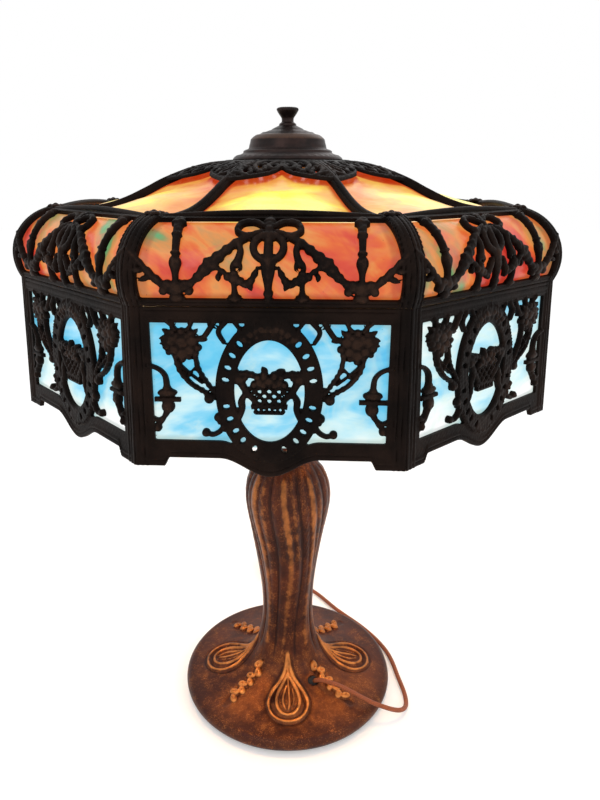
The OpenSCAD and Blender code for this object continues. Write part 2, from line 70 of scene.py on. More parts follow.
# The frame's dimensions, in millimetres
SIDES = 8
HALF_ANGLE = math.pi / SIDES
TAN_HALF = math.tan(HALF_ANGLE)
FOOT_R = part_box("base_casting")[1][0] / MM
SHOULDER_R = 36.0
SHOULDER_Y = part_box("shoulder_frames")[1][0] / MM - SHOULDER_R
JOINT_ANGLE, EAVE_ANGLE = math.radians(-26), math.radians(76)
EAVE_Y = SHOULDER_Y + SHOULDER_R * math.cos(EAVE_ANGLE)
JOINT_Y = SHOULDER_Y + SHOULDER_R * math.cos(JOINT_ANGLE)
JOINT_Z, SKIRT_FALL, SKIRT_FLARE = 445.0, 102.0, 4.6
SHOULDER_Z = JOINT_Z - SHOULDER_R * math.sin(JOINT_ANGLE)
SKIRT_LEAN = math.atan2(SKIRT_FLARE, SKIRT_FALL)
SKIRT_LEN = SKIRT_FALL / math.cos(SKIRT_LEAN)
FRAME_T, GLASS_T, GLASS_GAP = 2.5, 3.0, 0.3
CLUSTER_Z, SOCKET_TILT = 325.0, math.radians(40)
CORD_R = 2.25


# ---- Grids and curves -----------------------------------------------------------------

def smooth_curve(points, steps):
    """Catmull-Rom curve: each span blends four neighbours, so it passes through every point."""
    p = np.asarray(points, float)
    q = np.vstack([p[:1], p, p[-1:]])
    t = np.linspace(0, 1, steps, endpoint=False)[:, None, None]
    a, b, c, d = q[:-3], q[1:-2], q[2:-1], q[3:]
    spans = 0.5 * (2 * b + (c - a) * t + (2 * a - 5 * b + 4 * c - d) * t**2
                   + (3 * b - a - 3 * c + d) * t**3)
    return np.vstack([spans.transpose(1, 0, 2).reshape(-1, p.shape[1]), p[-1:]])


def length_along(points):
    """Distance from the line's start to each of its points."""
    return np.concatenate([[0], np.cumsum(np.linalg.norm(np.diff(points, axis=0), axis=1))])


def respaced(points, count):
    """The same line with points at equal distances along it."""
    along = length_along(points)
    where = np.linspace(0, along[-1], count)
    return np.stack([np.interp(where, along, points[:, k]) for k in range(points.shape[1])], 1)


def grid_faces(rows, columns, wrap_rows=False, wrap_columns=False):
    """Quads of a grid of points stored row by row; a wrapped direction joins its last to its first."""
    i = np.arange(rows if wrap_rows else rows - 1)[:, None]
    j = np.arange(columns if wrap_columns else columns - 1)[None, :]
    i2, j2 = (i + 1) % rows, (j + 1) % columns
    return np.stack([i * columns + j, i * columns + j2, i2 * columns + j2, i2 * columns + j],
                    -1).reshape(-1, 4)


def side_turn(points, side):
    """The points of the front side turned to another side of the shade."""
    a = 2 * math.pi * side / SIDES
    c, s = math.cos(a), math.sin(a)
    return points @ np.array([[c, s, 0], [-s, c, 0], [0, 0, 1]])


def ripple(a, b, seed, scale):
    """Smooth pseudo-random waves: a sum of seeded sines over two parameters, about -1 to 1."""
    rng = np.random.default_rng(seed)
    total = 0
    for _ in range(7):
        kx, ky, phase = rng.normal(0, 1 / scale), rng.normal(0, 1 / scale), rng.uniform(0, 7)
        total = total + np.sin(kx * a + ky * b + phase)
    return total / 4


def new_piece(name, points, faces, material, body, stands_for=(), uv=None, shade=None,
              smooth_angle=40):
    """A closed mesh piece from points in millimetres; uv and shade are values kept at each point."""
    mesh = bpy.data.meshes.new(name)
    if isinstance(faces, np.ndarray):
        faces = faces.tolist()
    mesh.from_pydata((np.asarray(points) * MM).tolist(), [], faces)
    corners = np.empty(len(mesh.loops), np.int32)
    mesh.loops.foreach_get("vertex_index", corners)
    if uv is not None:
        layer = mesh.uv_layers.new(name="UVMap")
        layer.data.foreach_set("uv", np.asarray(uv, np.float32)[corners].ravel())
    for key, values in (shade or {}).items():
        layer = mesh.attributes.new(key, "FLOAT", "POINT")
        layer.data.foreach_set("value", np.asarray(values, np.float32))
    mesh.update()
    mesh.shade_smooth()
    if smooth_angle:
        mesh.set_sharp_from_angle(angle=math.radians(smooth_angle))
    piece = bpy.data.objects.new(name, mesh)
    bpy.context.scene.collection.objects.link(piece)
    mesh.materials.append(material)
    if stands_for:
        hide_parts(*stands_for)
    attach(piece, body)
    return piece


def joined(parts):
    """Several (points, faces) meshes as one."""
    points, faces, start = [], [], 0
    for p, f in parts:
        points.append(p)
        faces += [[i + start for i in face] for face in f]
        start += len(p)
    return np.vstack(points), faces


def lathe(outline, columns, relief=None):
    """Closed ring of a closed outline of (radius, height), with relief(angle, row) pushed along
    the outline's normal."""
    p = np.asarray(outline, float)
    normal, angle = normals(np.roll(p, -1, 0) - np.roll(p, 1, 0)), around(columns)
    push = 0 if relief is None else relief(angle, p)
    r = p[:, :1] + normal[:, :1] * push + 0 * angle
    z = p[:, 1:] + normal[:, 1:] * push + 0 * angle
    points = np.stack([r * np.sin(angle), -r * np.cos(angle), z], -1).reshape(-1, 3)
    return points, grid_faces(len(p), columns, wrap_rows=True, wrap_columns=True)


def around(columns):
    """Equally spaced angles of a full turn, as one row."""
    return np.linspace(0, 2 * math.pi, columns, endpoint=False)[None, :]


def relief_at(outline, columns, relief):
    """The relief at every point of a lathe made with the same outline and columns."""
    return (relief(around(columns), outline) + np.zeros((len(outline), columns))).ravel()


def normals(p):
    """Sideways directions of tangents p, at unit length."""
    normal = np.stack([p[:, 1], -p[:, 0]], 1)
    return normal / np.maximum(np.linalg.norm(normal, axis=1, keepdims=True), 1e-9)


def spindle(outline, columns, relief=None):
    """Solid turned shape of an open outline of (radius, height) whose two ends lie on the axis."""
    p = np.asarray(outline, float)
    normal, angle = normals(np.gradient(p, axis=0)), around(columns)
    push = np.zeros((len(p), columns)) if relief is None else relief(angle, p)
    push[[0, -1]] = 0
    ring = slice(1, len(p) - 1)
    r = (p[:, :1] + normal[:, :1] * push)[ring] + 0 * angle
    z = (p[:, 1:] + normal[:, 1:] * push)[ring] + 0 * angle
    body = np.stack([r * np.sin(angle), -r * np.cos(angle), z], -1).reshape(-1, 3)
    rows = len(p) - 2
    points = np.vstack([body, [[0, 0, p[0, 1]], [0, 0, p[-1, 1]]]])
    k = np.arange(columns)
    bottom = [[rows * columns, j, i] for i, j in zip(k, (k + 1) % columns)]
    last = (rows - 1) * columns
    top = [[rows * columns + 1, last + i, last + j] for i, j in zip(k, (k + 1) % columns)]
    return points, grid_faces(rows, columns, wrap_columns=True).tolist() + bottom + top


def slab(outer, thickness):
    """Closed sheet under a grid of points: the back is the same grid pushed in along its normals."""
    rows, columns = outer.shape[:2]
    across, along = np.gradient(outer, axis=1), np.gradient(outer, axis=0)
    normal = np.cross(across, along)
    normal /= np.linalg.norm(normal, axis=-1, keepdims=True)
    points = np.vstack([outer.reshape(-1, 3), (outer - normal * thickness).reshape(-1, 3)])
    front = grid_faces(rows, columns)
    index = np.arange(rows * columns).reshape(rows, columns)
    rim = np.concatenate([index[0, :-1], index[:-1, -1], index[-1, :0:-1], index[:0:-1, 0]])
    after = np.roll(rim, -1)
    back = rows * columns
    walls = np.stack([after, rim, rim + back, after + back], 1)
    return points, np.vstack([front, front[:, ::-1] + back, walls])


def swept(path, radius, sides):
    """Closed round bar along a path: each ring lies across the path, and both ends are capped."""
    path = np.asarray(path, float)
    tangent = np.gradient(path, axis=0)
    tangent /= np.linalg.norm(tangent, axis=1, keepdims=True)
    side = np.cross(tangent, [0, 0, 1.0])
    side[np.linalg.norm(side, axis=1) < 1e-3] = [1, 0, 0]
    side /= np.linalg.norm(side, axis=1, keepdims=True)
    up = np.cross(side, tangent)
    a = np.linspace(0, 2 * math.pi, sides, endpoint=False)[None, :, None]
    rings = path[:, None] + radius * (np.cos(a) * side[:, None] + np.sin(a) * up[:, None])
    faces = grid_faces(len(path), sides, wrap_columns=True)[:, ::-1]
    k = np.arange(sides // 2 - 1)
    cap = np.stack([k, k + 1, sides - 2 - k, sides - 1 - k], 1)
    return rings.reshape(-1, 3), np.vstack([faces, cap, cap[:, ::-1] + (len(path) - 1) * sides])


# ---- Openwork castings ----------------------------------------------------------------
# A casting is drawn in the plane of its side, with u across and v up. Each shape gives, at every
# point, how far inside its outline the point lies (negative outside) and the relief over the plate.

def half_round(inside, reach, height):
    """Relief that rises from 0 at the edge to height at the given distance inside."""
    t = np.clip(inside / reach, 0, 1)
    return height * np.sqrt(t * (2 - t))


def stroke(u, v, points, widths, height=1.6, beads=0, smooth=5):
    """A rounded bar along a smooth line; widths are half-widths at the points, and beads a count of
    swellings along it."""
    line = smooth_curve(np.column_stack([np.asarray(points, float), widths]), smooth)
    if beads:
        t = np.linspace(0, 1, len(line))
        line[:, 2] *= 1 + 0.22 * np.sin(2 * math.pi * beads * t)
    best = np.full(u.shape, -1e9)
    for (x0, y0, r0), (x1, y1, r1) in zip(line[:-1], line[1:]):
        dx, dy = x1 - x0, y1 - y0
        t = np.clip(((u - x0) * dx + (v - y0) * dy) / (dx * dx + dy * dy + 1e-9), 0, 1)
        best = np.maximum(best, r0 + (r1 - r0) * t - np.hypot(u - x0 - t * dx, v - y0 - t * dy))
    return best, half_round(best, max(widths), height)


def disc(u, v, x, y, a, b=None, height=1.6):
    """An oval boss."""
    b = b or a
    inside = min(a, b) * (1 - np.hypot((u - x) / a, (v - y) / b))
    return inside, half_round(inside, min(a, b), height)


def oval_ring(u, v, x, y, outer, inner, height):
    """A flat oval ring between two outlines, each (half width, half height)."""
    out = min(outer) * (1 - np.hypot((u - x) / outer[0], (v - y) / outer[1]))
    hole = min(inner) * (np.hypot((u - x) / inner[0], (v - y) / inner[1]) - 1)
    inside = np.minimum(out, hole)
    return inside, half_round(inside, 1.5, height)


def bar(u, v, low, high, height=1.0):
    """A straight-sided block between two corners."""
    inside = np.minimum(np.minimum(u - low[0], high[0] - u), np.minimum(v - low[1], high[1] - v))
    return inside, half_round(inside, 1.2, height)


def leaf(u, v, root, tip, half_width, height=1.4):
    """A pointed leaf from root to tip, with a groove down its middle."""
    dx, dy = tip[0] - root[0], tip[1] - root[1]
    length = math.hypot(dx, dy)
    s = ((u - root[0]) * dx + (v - root[1]) * dy) / length
    w = ((v - root[1]) * dx - (u - root[0]) * dy) / length
    t = np.clip(s / length, 0, 1)
    half = half_width * np.sin(math.pi * np.clip(0.12 + 0.88 * t, 0, 1)) ** 0.8
    past = np.maximum(np.maximum(-s, s - length), 0)
    inside = half - np.abs(w) - past
    return inside, half_round(inside, half_width, height) * (1 - 0.35 * np.exp(-(w / 0.5) ** 2))


RELIEF_MOST = 2.4


def combined(shapes, u, v):
    """Metal where any shape is: the largest inside distance and the highest relief. Ornaments, which
    are all shapes after the first, are chased with small waves."""
    inside, relief = shapes[0]
    chased = 1 + 0.22 * ripple(u, v, 5, 0.9)
    for f, h in shapes[1:]:
        inside = np.maximum(inside, f)
        relief = np.maximum(relief, np.where(f > 0, h * chased, 0))
    return inside, np.minimum(relief, RELIEF_MOST)


def openwork(field, low, high, cell, place, edge_t):
    """Closed casting of everything where field(u, v) says inside. Cells with a corner inside are
    kept, and their outside corners slide along the field's slope onto its outline. The front is
    raised by the relief, the back is flat, and walls close the outline."""
    us = np.arange(low[0], high[0] + cell, cell)
    vs = np.arange(low[1], high[1] + cell, cell)
    u, v = np.meshgrid(us, vs)
    metal = field(u, v)[0] > 0
    keep = metal[:-1, :-1] | metal[1:, :-1] | metal[:-1, 1:] | metal[1:, 1:]
    used = np.zeros(u.shape, bool)
    for rows in (slice(None, -1), slice(1, None)):
        for columns in (slice(None, -1), slice(1, None)):
            used[rows, columns] |= keep
    edge = used & ~metal
    eu, ev = u[edge], v[edge]
    step = 0.05 * cell
    for _ in range(3):
        f = field(eu, ev)[0]
        gu = (field(eu + step, ev)[0] - f) / step
        gv = (field(eu, ev + step)[0] - f) / step
        move = np.clip(-f / np.maximum(gu * gu + gv * gv, 0.05), -cell, cell)
        eu, ev = eu + move * gu, ev + move * gv
    reach = 1.2 * cell
    u[edge] = np.clip(eu, u[edge] - reach, u[edge] + reach)
    v[edge] = np.clip(ev, v[edge] - reach, v[edge] + reach)
    number = np.cumsum(used.ravel()).reshape(used.shape) - 1
    count = int(used.sum())
    relief = np.where(edge[used], 0, field(u[used], v[used])[1])
    front = place(u[used], v[used], edge_t + relief)
    back = place(u[used], v[used], 0 * relief)
    j, i = np.nonzero(keep)
    quads = np.stack([number[j, i], number[j, i + 1], number[j + 1, i + 1], number[j + 1, i]], 1)
    padded = np.pad(keep, 1)
    walls = []
    for dj, di, a, b in ((-1, 0, (0, 0), (0, 1)), (0, 1, (0, 1), (1, 1)),
                         (1, 0, (1, 1), (1, 0)), (0, -1, (1, 0), (0, 0))):
        open_side = ~padded[j + 1 + dj, i + 1 + di]
        jj, ii = j[open_side], i[open_side]
        n1, n2 = number[jj + a[0], ii + a[1]], number[jj + b[0], ii + b[1]]
        walls.append(np.stack([n2, n1, n1 + count, n2 + count], 1))
    points = np.vstack([front, back])
    faces = np.vstack([quads, quads[:, ::-1] + count, *walls])
    height = np.concatenate([relief, 0 * relief])
    return points, faces, height


# ---- Drawings of the castings -----------------------------------------------------------

HALF_TOP, HALF_LOW = JOINT_Y * TAN_HALF, (JOINT_Y + SKIRT_FLARE) * TAN_HALF
STRAIGHT_V, DROP_V, DROP_HALF, FOOT_V = -96.1, -108.0, 32.0, -102.0
WINDOW_HALF, WINDOW_TOP, WINDOW_BOTTOM = 72.6, -9.7, -84.7
OVAL_V, OVAL_OUT, OVAL_IN = -52.3, (33.3, 46.0), (21.7, 32.5)
ARC_LEN = SHOULDER_R * (EAVE_ANGLE - JOINT_ANGLE)
BORDER_W, RAIL_W = 9.0, 11.4
OUTER_Y = CAD_BOX[1][0] / MM - 0.03


def smoothstep(low, high, x):
    """0 below low, 1 above high, and a smooth S between."""
    t = np.clip((x - low) / (high - low), 0, 1)
    return t * t * (3 - 2 * t)


def skirt_half(v):
    """Half width of a skirt panel: it grows evenly from the joint to the foot."""
    return HALF_TOP + (HALF_LOW - HALF_TOP) * np.clip(-v / SKIRT_LEN, 0, 1.1)


def skirt_edge(a):
    """Lower edge of the skirt: a cosine drop at the middle and stepped feet at the corners."""
    drop = 0.5 * (1 + np.cos(math.pi * np.clip(np.abs(a) / DROP_HALF, 0, 1)))
    foot = smoothstep(63.5, 67.5, np.abs(a))
    return STRAIGHT_V + (DROP_V - STRAIGHT_V) * drop + (FOOT_V - STRAIGHT_V) * foot


def mouldings(distance, centres, widths, height):
    """Parallel half-round ridges at set distances from an edge."""
    total = 0
    for c, w in zip(centres, widths):
        total = np.maximum(total, height * np.sqrt(np.clip(1 - ((distance - c) / w) ** 2, 0, 1)))
    return total


def skirt_field(u, v):
    """One skirt casting: border with mouldings, oval ring with pierced holes, basket, flower horns,
    candle brackets and scrolls. It is the same on both sides of the middle, so it is drawn on the
    left with a = -|u|."""
    a = -np.abs(u)
    side = skirt_half(v) + a
    low = v - skirt_edge(a)
    outline = np.minimum(np.minimum(side, low), -v)
    window = np.minimum(np.minimum(WINDOW_HALF + a, WINDOW_TOP - v), low - RAIL_W)
    at_drop = (v < WINDOW_BOTTOM + 1) & (a > -(DROP_HALF + 6))
    window = np.where(at_drop, window, np.minimum(window, v - WINDOW_BOTTOM))
    frame_in = np.minimum(outline, -window)
    relief = mouldings(side, (1.6, 4.6, 7.6), (1.5, 1.3, 1.1), 0.9)
    relief = np.maximum(relief, mouldings(-v, (1.3, 4.6, 7.4), (1.2, 1.6, 0.9), 0.8) * (side > 9))
    relief = np.maximum(relief, mouldings(low, (1.4, 4.6), (1.3, 1.0), 0.8) * (side > 6))
    on_rail = (low > 5.5) & (low < 11) & (side > 9)
    relief = np.maximum(relief, 0.25 * np.sin(a * 1.7) * np.sin(v * 1.9) * on_rail)
    shapes = [(frame_in, np.where(frame_in > 0, relief, 0))]

    ring, ring_h = oval_ring(a, v, 0, OVAL_V, OVAL_OUT, OVAL_IN, 1.1)
    holes = [(27.5 * math.cos(t), OVAL_V + 39.3 * math.sin(t), t) for t in
             np.radians([49.6, 35.4, 22.8, 11.1, -13.9, -26.4, -40, -52.9, -70])]
    for x, y, t in holes:
        c, s = math.cos(t), math.sin(t)
        along, across = (-a - x) * c + (v - y) * s, -(-a - x) * s + (v - y) * c
        hole = np.hypot(along / 2.4, across / 1.5) - 1
        ring = np.minimum(ring, hole * 1.5)
    angle = np.arctan2((v - OVAL_V) / OVAL_OUT[1], a / OVAL_OUT[0])
    on_rim = (ring > 0) & (np.abs(np.hypot(a / 32, (v - OVAL_V) / 44.6) - 1) < 0.03)
    ring_h = ring_h + np.where(on_rim, 0.3 * np.sin(angle * 110), 0)
    shapes.append((ring, ring_h))
    for k in range(5):
        t = math.radians(90 + 8.2 * k)
        wide = 3.2 + 0.5 * (k % 2)
        shapes.append(disc(a, v, 27.4 * math.cos(t), OVAL_V + 39.5 * math.sin(t), wide, 2.9, 2.2))
    for k in range(3):
        t = math.radians(96 + 11 * k)
        shapes.append(disc(a, v, 24.6 * math.cos(t), OVAL_V + 35.9 * math.sin(t), 1.8, 1.8, 2.0))

    flowers = [(-53.0, -21.6, 4.6), (-59.0, -20.4, 3.9), (-46.9, -20.8, 3.9), (-62.4, -24.4, 2.5),
               (-43.4, -25.0, 2.5), (-53.0, -28.6, 3.9), (-58.7, -15.6, 2.2), (-53.1, -15.0, 2.5),
               (-47.2, -15.8, 2.2), (-48.4, -26.4, 3.4), (-57.7, -26.2, 3.4), (-56.2, -17.8, 2.4),
               (-49.8, -17.9, 2.4), (-61.2, -28.0, 1.9), (-44.8, -28.6, 1.9),
               (-53.0, -32.4, 2.0), (-57.0, -30.4, 2.0), (-48.8, -30.6, 2.0)]
    shapes += [disc(a, v, x, y, r, r * 0.92, 1.2 + 0.28 * r) for x, y, r in flowers]
    leaves = [((-60.5, -18.6), (-66.8, -19.4), 1.7), ((-44.8, -18.8), (-37.4, -20.4), 1.7),
              ((-61, -21.6), (-66.6, -22.6), 1.5), ((-59.6, -17), (-64.8, -13.6), 1.5),
              ((-46.4, -17), (-43.2, -13.4), 1.4)]
    shapes += [leaf(a, v, root, tip, half) for root, tip, half in leaves]
    lines = [
        ([(-61.5, -9.0), (-58.6, -11.6), (-56.5, -14)], (1.3, 1.2, 1.2), 0),
        ([(-46.8, -9.0), (-47.8, -11.8), (-50, -14)], (1.3, 1.2, 1.2), 0),
        ([(-33.2, -9.2), (-36.4, -14.2), (-39.9, -18.6), (-44, -19.6)], (1.7, 1.7, 1.6, 1.2), 0),
        ([(-26.6, -9.6), (-30.6, -15), (-27.4, -21.4)], (1.6, 1.5, 1.2), 0),
        ([(-20.4, -9.6), (-17.4, -13.6)], (1.2, 1.1), 0),
        ([(-57.4, -30), (-55.2, -38.8), (-48.4, -47.4), (-40.2, -52.6), (-35.2, -56.6)],
         (1.5, 1.4, 1.4, 1.4, 1.6), 9),
        ([(-45.2, -30), (-43.2, -38.8), (-38.4, -46.8), (-34.2, -52.6)], (1.5, 1.35, 1.3, 1.3), 7),
        ([(-55.3, -34.9), (-48.6, -41.2), (-41.4, -46.8)], (0.8, 0.75, 0.8), 0),
        ([(-44.4, -36.4), (-48.2, -40.4), (-51.6, -45)], (0.8, 0.75, 0.8), 0),
        ([(-21.8, -42.2), (-16.4, -40.6), (-10.6, -41.4), (-6, -44)], (1.2, 1.7, 1.7, 1.4), 5),
        ([(-17.4, -46.4), (-13.8, -52.6), (-10.4, -56.4), (-8.4, -58.4)], (2.3, 2.0, 1.6, 1.3), 0),
        ([(-14.6, -53.2), (-17.2, -58.2), (-16.9, -63), (-18.6, -68), (-21.4, -73)],
         (1.4, 2.2, 2.0, 1.9, 1.6), 0),
        ([(-30.6, -68.2), (-28.4, -72), (-30.4, -77.4), (-35.2, -80.4), (-38.8, -79.6)],
         (1.4, 1.6, 1.6, 1.4, 1.4), 0),
        ([(-74.4, -36.2), (-68.2, -38.6), (-64.6, -42.4), (-63.7, -47), (-63.6, -50.8)],
         (1.3, 1.3, 1.5, 1.8, 1.8), 0),
        ([(-63.2, -65), (-65.4, -68.6), (-69.4, -71.4), (-72.6, -70.6)], (1.6, 1.5, 1.3, 1.3), 0),
        ([(-65.4, -67.6), (-67.6, -72.2), (-70.8, -75)], (1.5, 1.4, 1.2), 0)]
    shapes += [stroke(a, v, points, widths, 1.5, beads) for points, widths, beads in lines]
    balls = [(-37.3, -56.9, 3.1), (-31.9, -69.0, 2.7), (-39.9, -79.2, 2.6), (-70.3, -76.6, 2.4),
             (-18.4, -44.4, 3.4), (-14.8, -43.2, 2.0), (-31.0, -72.0, 1.6)]
    shapes += [disc(a, v, x, y, r, r, 2.0) for x, y, r in balls]
    shapes += [disc(a, v, -63.4, -53.6, 6.1, 2.6, 2.0), bar(a, v, (-71.6, -59.3), (-55.2, -56.5), 1.2),
               disc(a, v, -63.2, -62.4, 4.1, 4.3, 2.2), disc(a, v, -63.6, -50.4, 2.5, 1.5, 1.8)]

    weave = np.minimum(np.abs((a + v + 52) % 6.0 - 3.0), np.abs((a - v - 52) % 6.0 - 3.0))
    basket = np.minimum(np.minimum(10.6 + a + 0.10 * (v + 61), -47.6 - v), v + 61.4)
    lattice = np.minimum(basket, (1.15 - weave) * 0.7)
    shapes.append((lattice, half_round(lattice, 0.7, 0.9)))
    band, band_h = bar(a, v, (-11.4, -66.6), (1.0, -60.4), 0.8)
    band = np.minimum(band, 11.4 - 0.09 * (v + 61) ** 2 + a)
    drill = np.hypot((a - 1.7) % 3.4 - 1.7, (v + 63.6) * 0.75) - 0.95
    band = np.minimum(band, drill)
    shapes.append((band, np.where(band > 0, band_h, 0)))
    shapes += [disc(a, v, x, y, r, r * 0.95, 2.3) for x, y, r in (
        (-0.3, -45.4, 3.4), (-5.8, -45.8, 3.0), (-3.2, -41.8, 2.8), (-9.2, -47.4, 2.4), (-3.4, -47.4, 2.6),
        (-7.4, -42.8, 2.2))]
    shapes += [leaf(u, v, (-1.5, -41), (-4.6, -36.4), 2.0), leaf(u, v, (3.4, -41), (9.6, -37.8), 2.0)]
    inside, relief = combined(shapes, a, v)
    return np.minimum(inside, outline), relief


def rise_of(z):
    """Distance up the shoulder's curve of a height z: the arc from the joint to that height."""
    return SHOULDER_R * (math.asin((z - SHOULDER_Z) / SHOULDER_R) - JOINT_ANGLE)


def shoulder_half(v):
    """Half width of a shoulder panel at a distance up its curve."""
    return (SHOULDER_Y + SHOULDER_R * np.cos(JOINT_ANGLE + v / SHOULDER_R)) * TAN_HALF


def shoulder_field(u, v):
    """One shoulder casting: border, straps like turned balusters, a ring with a spear, a ribbon bow,
    swags of leaves and small feet. It is drawn on the left, as the skirt is."""
    a = -np.abs(u)
    side = shoulder_half(v) + a
    outline = np.minimum(np.minimum(side, v), ARC_LEN - v)
    low, high = rise_of(449.2), rise_of(494.8)
    window = np.minimum(np.minimum(side - 7.8, high - v), v - low)
    frame_in = np.minimum(outline, -window)
    relief = mouldings(side, (1.7, 4.7, 7.6), (1.6, 1.4, 1.1), 1.1)
    relief = np.maximum(relief, mouldings(v, (1.4, 3.5), (1.2, 0.8), 0.7) * (side > 9))
    shapes = [(frame_in, np.where(frame_in > 0, relief, 0))]

    a = a / 1.05

    def at(points):
        """Points given as (across, height), carried to the flat drawing."""
        return [(x, rise_of(z)) for x, z in points]

    lines = [
        ([(-51.7, 494), (-51.7, 484), (-51.7, 474), (-51.7, 470.8), (-51.7, 464), (-51.7, 455)],
         (2.9, 2.1, 1.9, 3.2, 1.7, 2.0), 0),
        ([(0, 494), (0, 484), (0, 474), (0, 468), (0, 457), (0, 449)], (2.7, 2.5, 2.8, 3.9, 2.1, 2.4), 0),
        ([(-3.4, 491.0), (-8.6, 493.0), (-15.4, 492.4), (-17.8, 488.6), (-12.6, 486.2), (-4, 488.0)],
         (1.5, 1.6, 1.7, 1.7, 1.5, 1.3), 0),
        ([(-13.4, 486.4), (-16.4, 482), (-15.4, 477.4), (-17.4, 470.4)], (1.5, 2.0, 1.8, 2.4), 0),
        ([(-9.4, 486.4), (-16.4, 483.2), (-24.6, 477.2), (-32.6, 469.8), (-39, 463), (-46, 457)],
         (1.9, 2.2, 2.5, 3.5, 2.4, 2.0), 9),
        ([(-57.3, 456.0), (-64.6, 463.4), (-72.2, 471.6), (-78, 478)], (2.2, 2.0, 1.7, 1.8), 5),
        ([(-29.6, 469.4), (-24.4, 465.6), (-19.6, 462.2)], (1.6, 1.4, 1.5), 3),
        ([(-18.2, 460.6), (-12.2, 458.6), (-8.8, 462.0), (-5.8, 468.4)], (1.3, 1.7, 1.9, 1.0), 4),
        ([(-18.9, 460), (-18.9, 455), (-18.9, 450)], (1.6, 1.5, 2.6), 0)]
    shapes += [stroke(a, v, at(points), widths, 1.6, beads) for points, widths, beads in lines]
    ring = 2.1 - np.abs(np.hypot(a, v - rise_of(480.0)) - 8.4)
    shapes.append((ring, half_round(ring, 2.1, 1.5)))
    balls = [(-51.7, 471, 3.4, 4.6), (-51.7, 492.6, 4.4, 2.4), (-51.7, 486.6, 3.0, 1.7),
             (-51.7, 476.6, 2.8, 1.4), (-51.7, 456.4, 4.8, 4.6), (-56.6, 458.0, 3.1, 3.2),
             (-46.8, 458.0, 3.1, 3.2), (-59.0, 454.4, 2.4, 2.4), (-44.4, 454.4, 2.4, 2.4),
             (-51.7, 450.6, 4.2, 3.0), (0, 493, 3.6, 2.4), (0, 471, 4.3, 3.2), (0, 453.2, 2.8, 2.2),
             (-18.9, 462.2, 3.4, 3.2), (-15.4, 461.0, 2.2, 2.1), (-22.4, 463, 2.2, 2.2),
             (-18.9, 465.4, 2.2, 1.8), (-19, 450.4, 3.9, 1.8), (-34.2, 472.2, 1.9, 1.9),
             (-30.4, 468.4, 1.8, 1.8), (-72.8, 466.6, 2.6, 1.8), (-36.4, 466.4, 1.8, 1.8)]
    shapes += [disc(a, v, x, rise_of(z), r, s, 2.0) for x, z, r, s in balls]
    leaves = [((-17.4, 473), (-21, 467.4), 1.5), ((-17, 473), (-14.6, 467.0), 1.5),
              ((-28, 464.6), (-27.4, 460.4), 1.5), ((-11, 459.4), (-9, 455.0), 1.6),
              ((-66, 463), (-72.6, 460.6), 1.8)]
    shapes += [leaf(a, v, *at((root, tip)), half) for root, tip, half in leaves]
    inside, relief = combined(shapes, a, v)
    return np.minimum(inside, outline), relief


def mitred(u, half, w):
    """Sideways place that opens out with the height w over the face, so that neighbours still meet."""
    near = np.clip((np.abs(u) - (half - BORDER_W)) / BORDER_W, 0, 1)
    return u + np.sign(u) * near * (w - FRAME_T) * TAN_HALF


def skirt_place(u, v, w):
    """A point of the flat drawing carried to the front side: down the leaning face, and out by w."""
    c, s = math.cos(SKIRT_LEAN), math.sin(SKIRT_LEAN)
    out = w - FRAME_T
    y = JOINT_Y - v * s + out * c
    y = np.minimum(y, OUTER_Y)
    return np.stack([mitred(u, skirt_half(v), w), -y, JOINT_Z - 0.15 + v * c + out * s], -1)


def shoulder_place(u, v, w):
    """A point of the flat drawing bent round the shoulder's arc, and out by w along its radius."""
    angle, r = JOINT_ANGLE + v / SHOULDER_R, SHOULDER_R + w - FRAME_T
    y = np.minimum(SHOULDER_Y + r * np.cos(angle), OUTER_Y)
    return np.stack([mitred(u, shoulder_half(v), w), -y, SHOULDER_Z + r * np.sin(angle)], -1)


# ---- Roof and crown ---------------------------------------------------------------------

ROOF = smooth_curve([(0, 530), (0.13, 528.4), (0.26, 524), (0.4, 516.4), (0.5, 509.2), (0.61, 502),
                     (0.72, 497.2), (0.86, 494.6), (1, 494.2)], 8)
ROOF_IN = 42.0
RIB_HALF, RIB_RING, TRIM_SUNK, PANE_SUNK = 3.5, 17, 1.8, 5.2
EAVE_BAR_Z, BAR_OUT, BAR_UP = 494.3, 1.9, 2.1


def roof_height(y):
    """Height of the roof over a distance from the axis, measured at the middle of a side."""
    return np.interp((np.asarray(y, float) - ROOF_IN) / (EAVE_Y - ROOF_IN), ROOF[:, 0], ROOF[:, 1])


def eave_shape(steps=12, bow=3.0):
    """Round bar under the roof panes: a small circle carried round the eight sides, where each side
    bows up by a cosine of its length."""
    turn = np.linspace(-0.5 * math.pi, 1.5 * math.pi, 14, endpoint=False)[:, None]
    s = np.tile(np.linspace(-1, 1, steps, endpoint=False), SIDES)[None, :]
    side = np.repeat(np.arange(SIDES), steps)[None, :] * 2 * HALF_ANGLE
    y = EAVE_Y - 2.2 + BAR_OUT * np.cos(turn) + 0 * s
    x = s * y * TAN_HALF
    z = EAVE_BAR_Z + BAR_UP * np.sin(turn) + bow * np.cos(0.5 * math.pi * s) + 0 * x
    c, s = np.cos(side), np.sin(side)
    points = np.stack([x * c + y * s, x * s - y * c, z], -1).reshape(-1, 3)
    return points, grid_faces(len(turn), steps * SIDES, wrap_rows=True, wrap_columns=True)


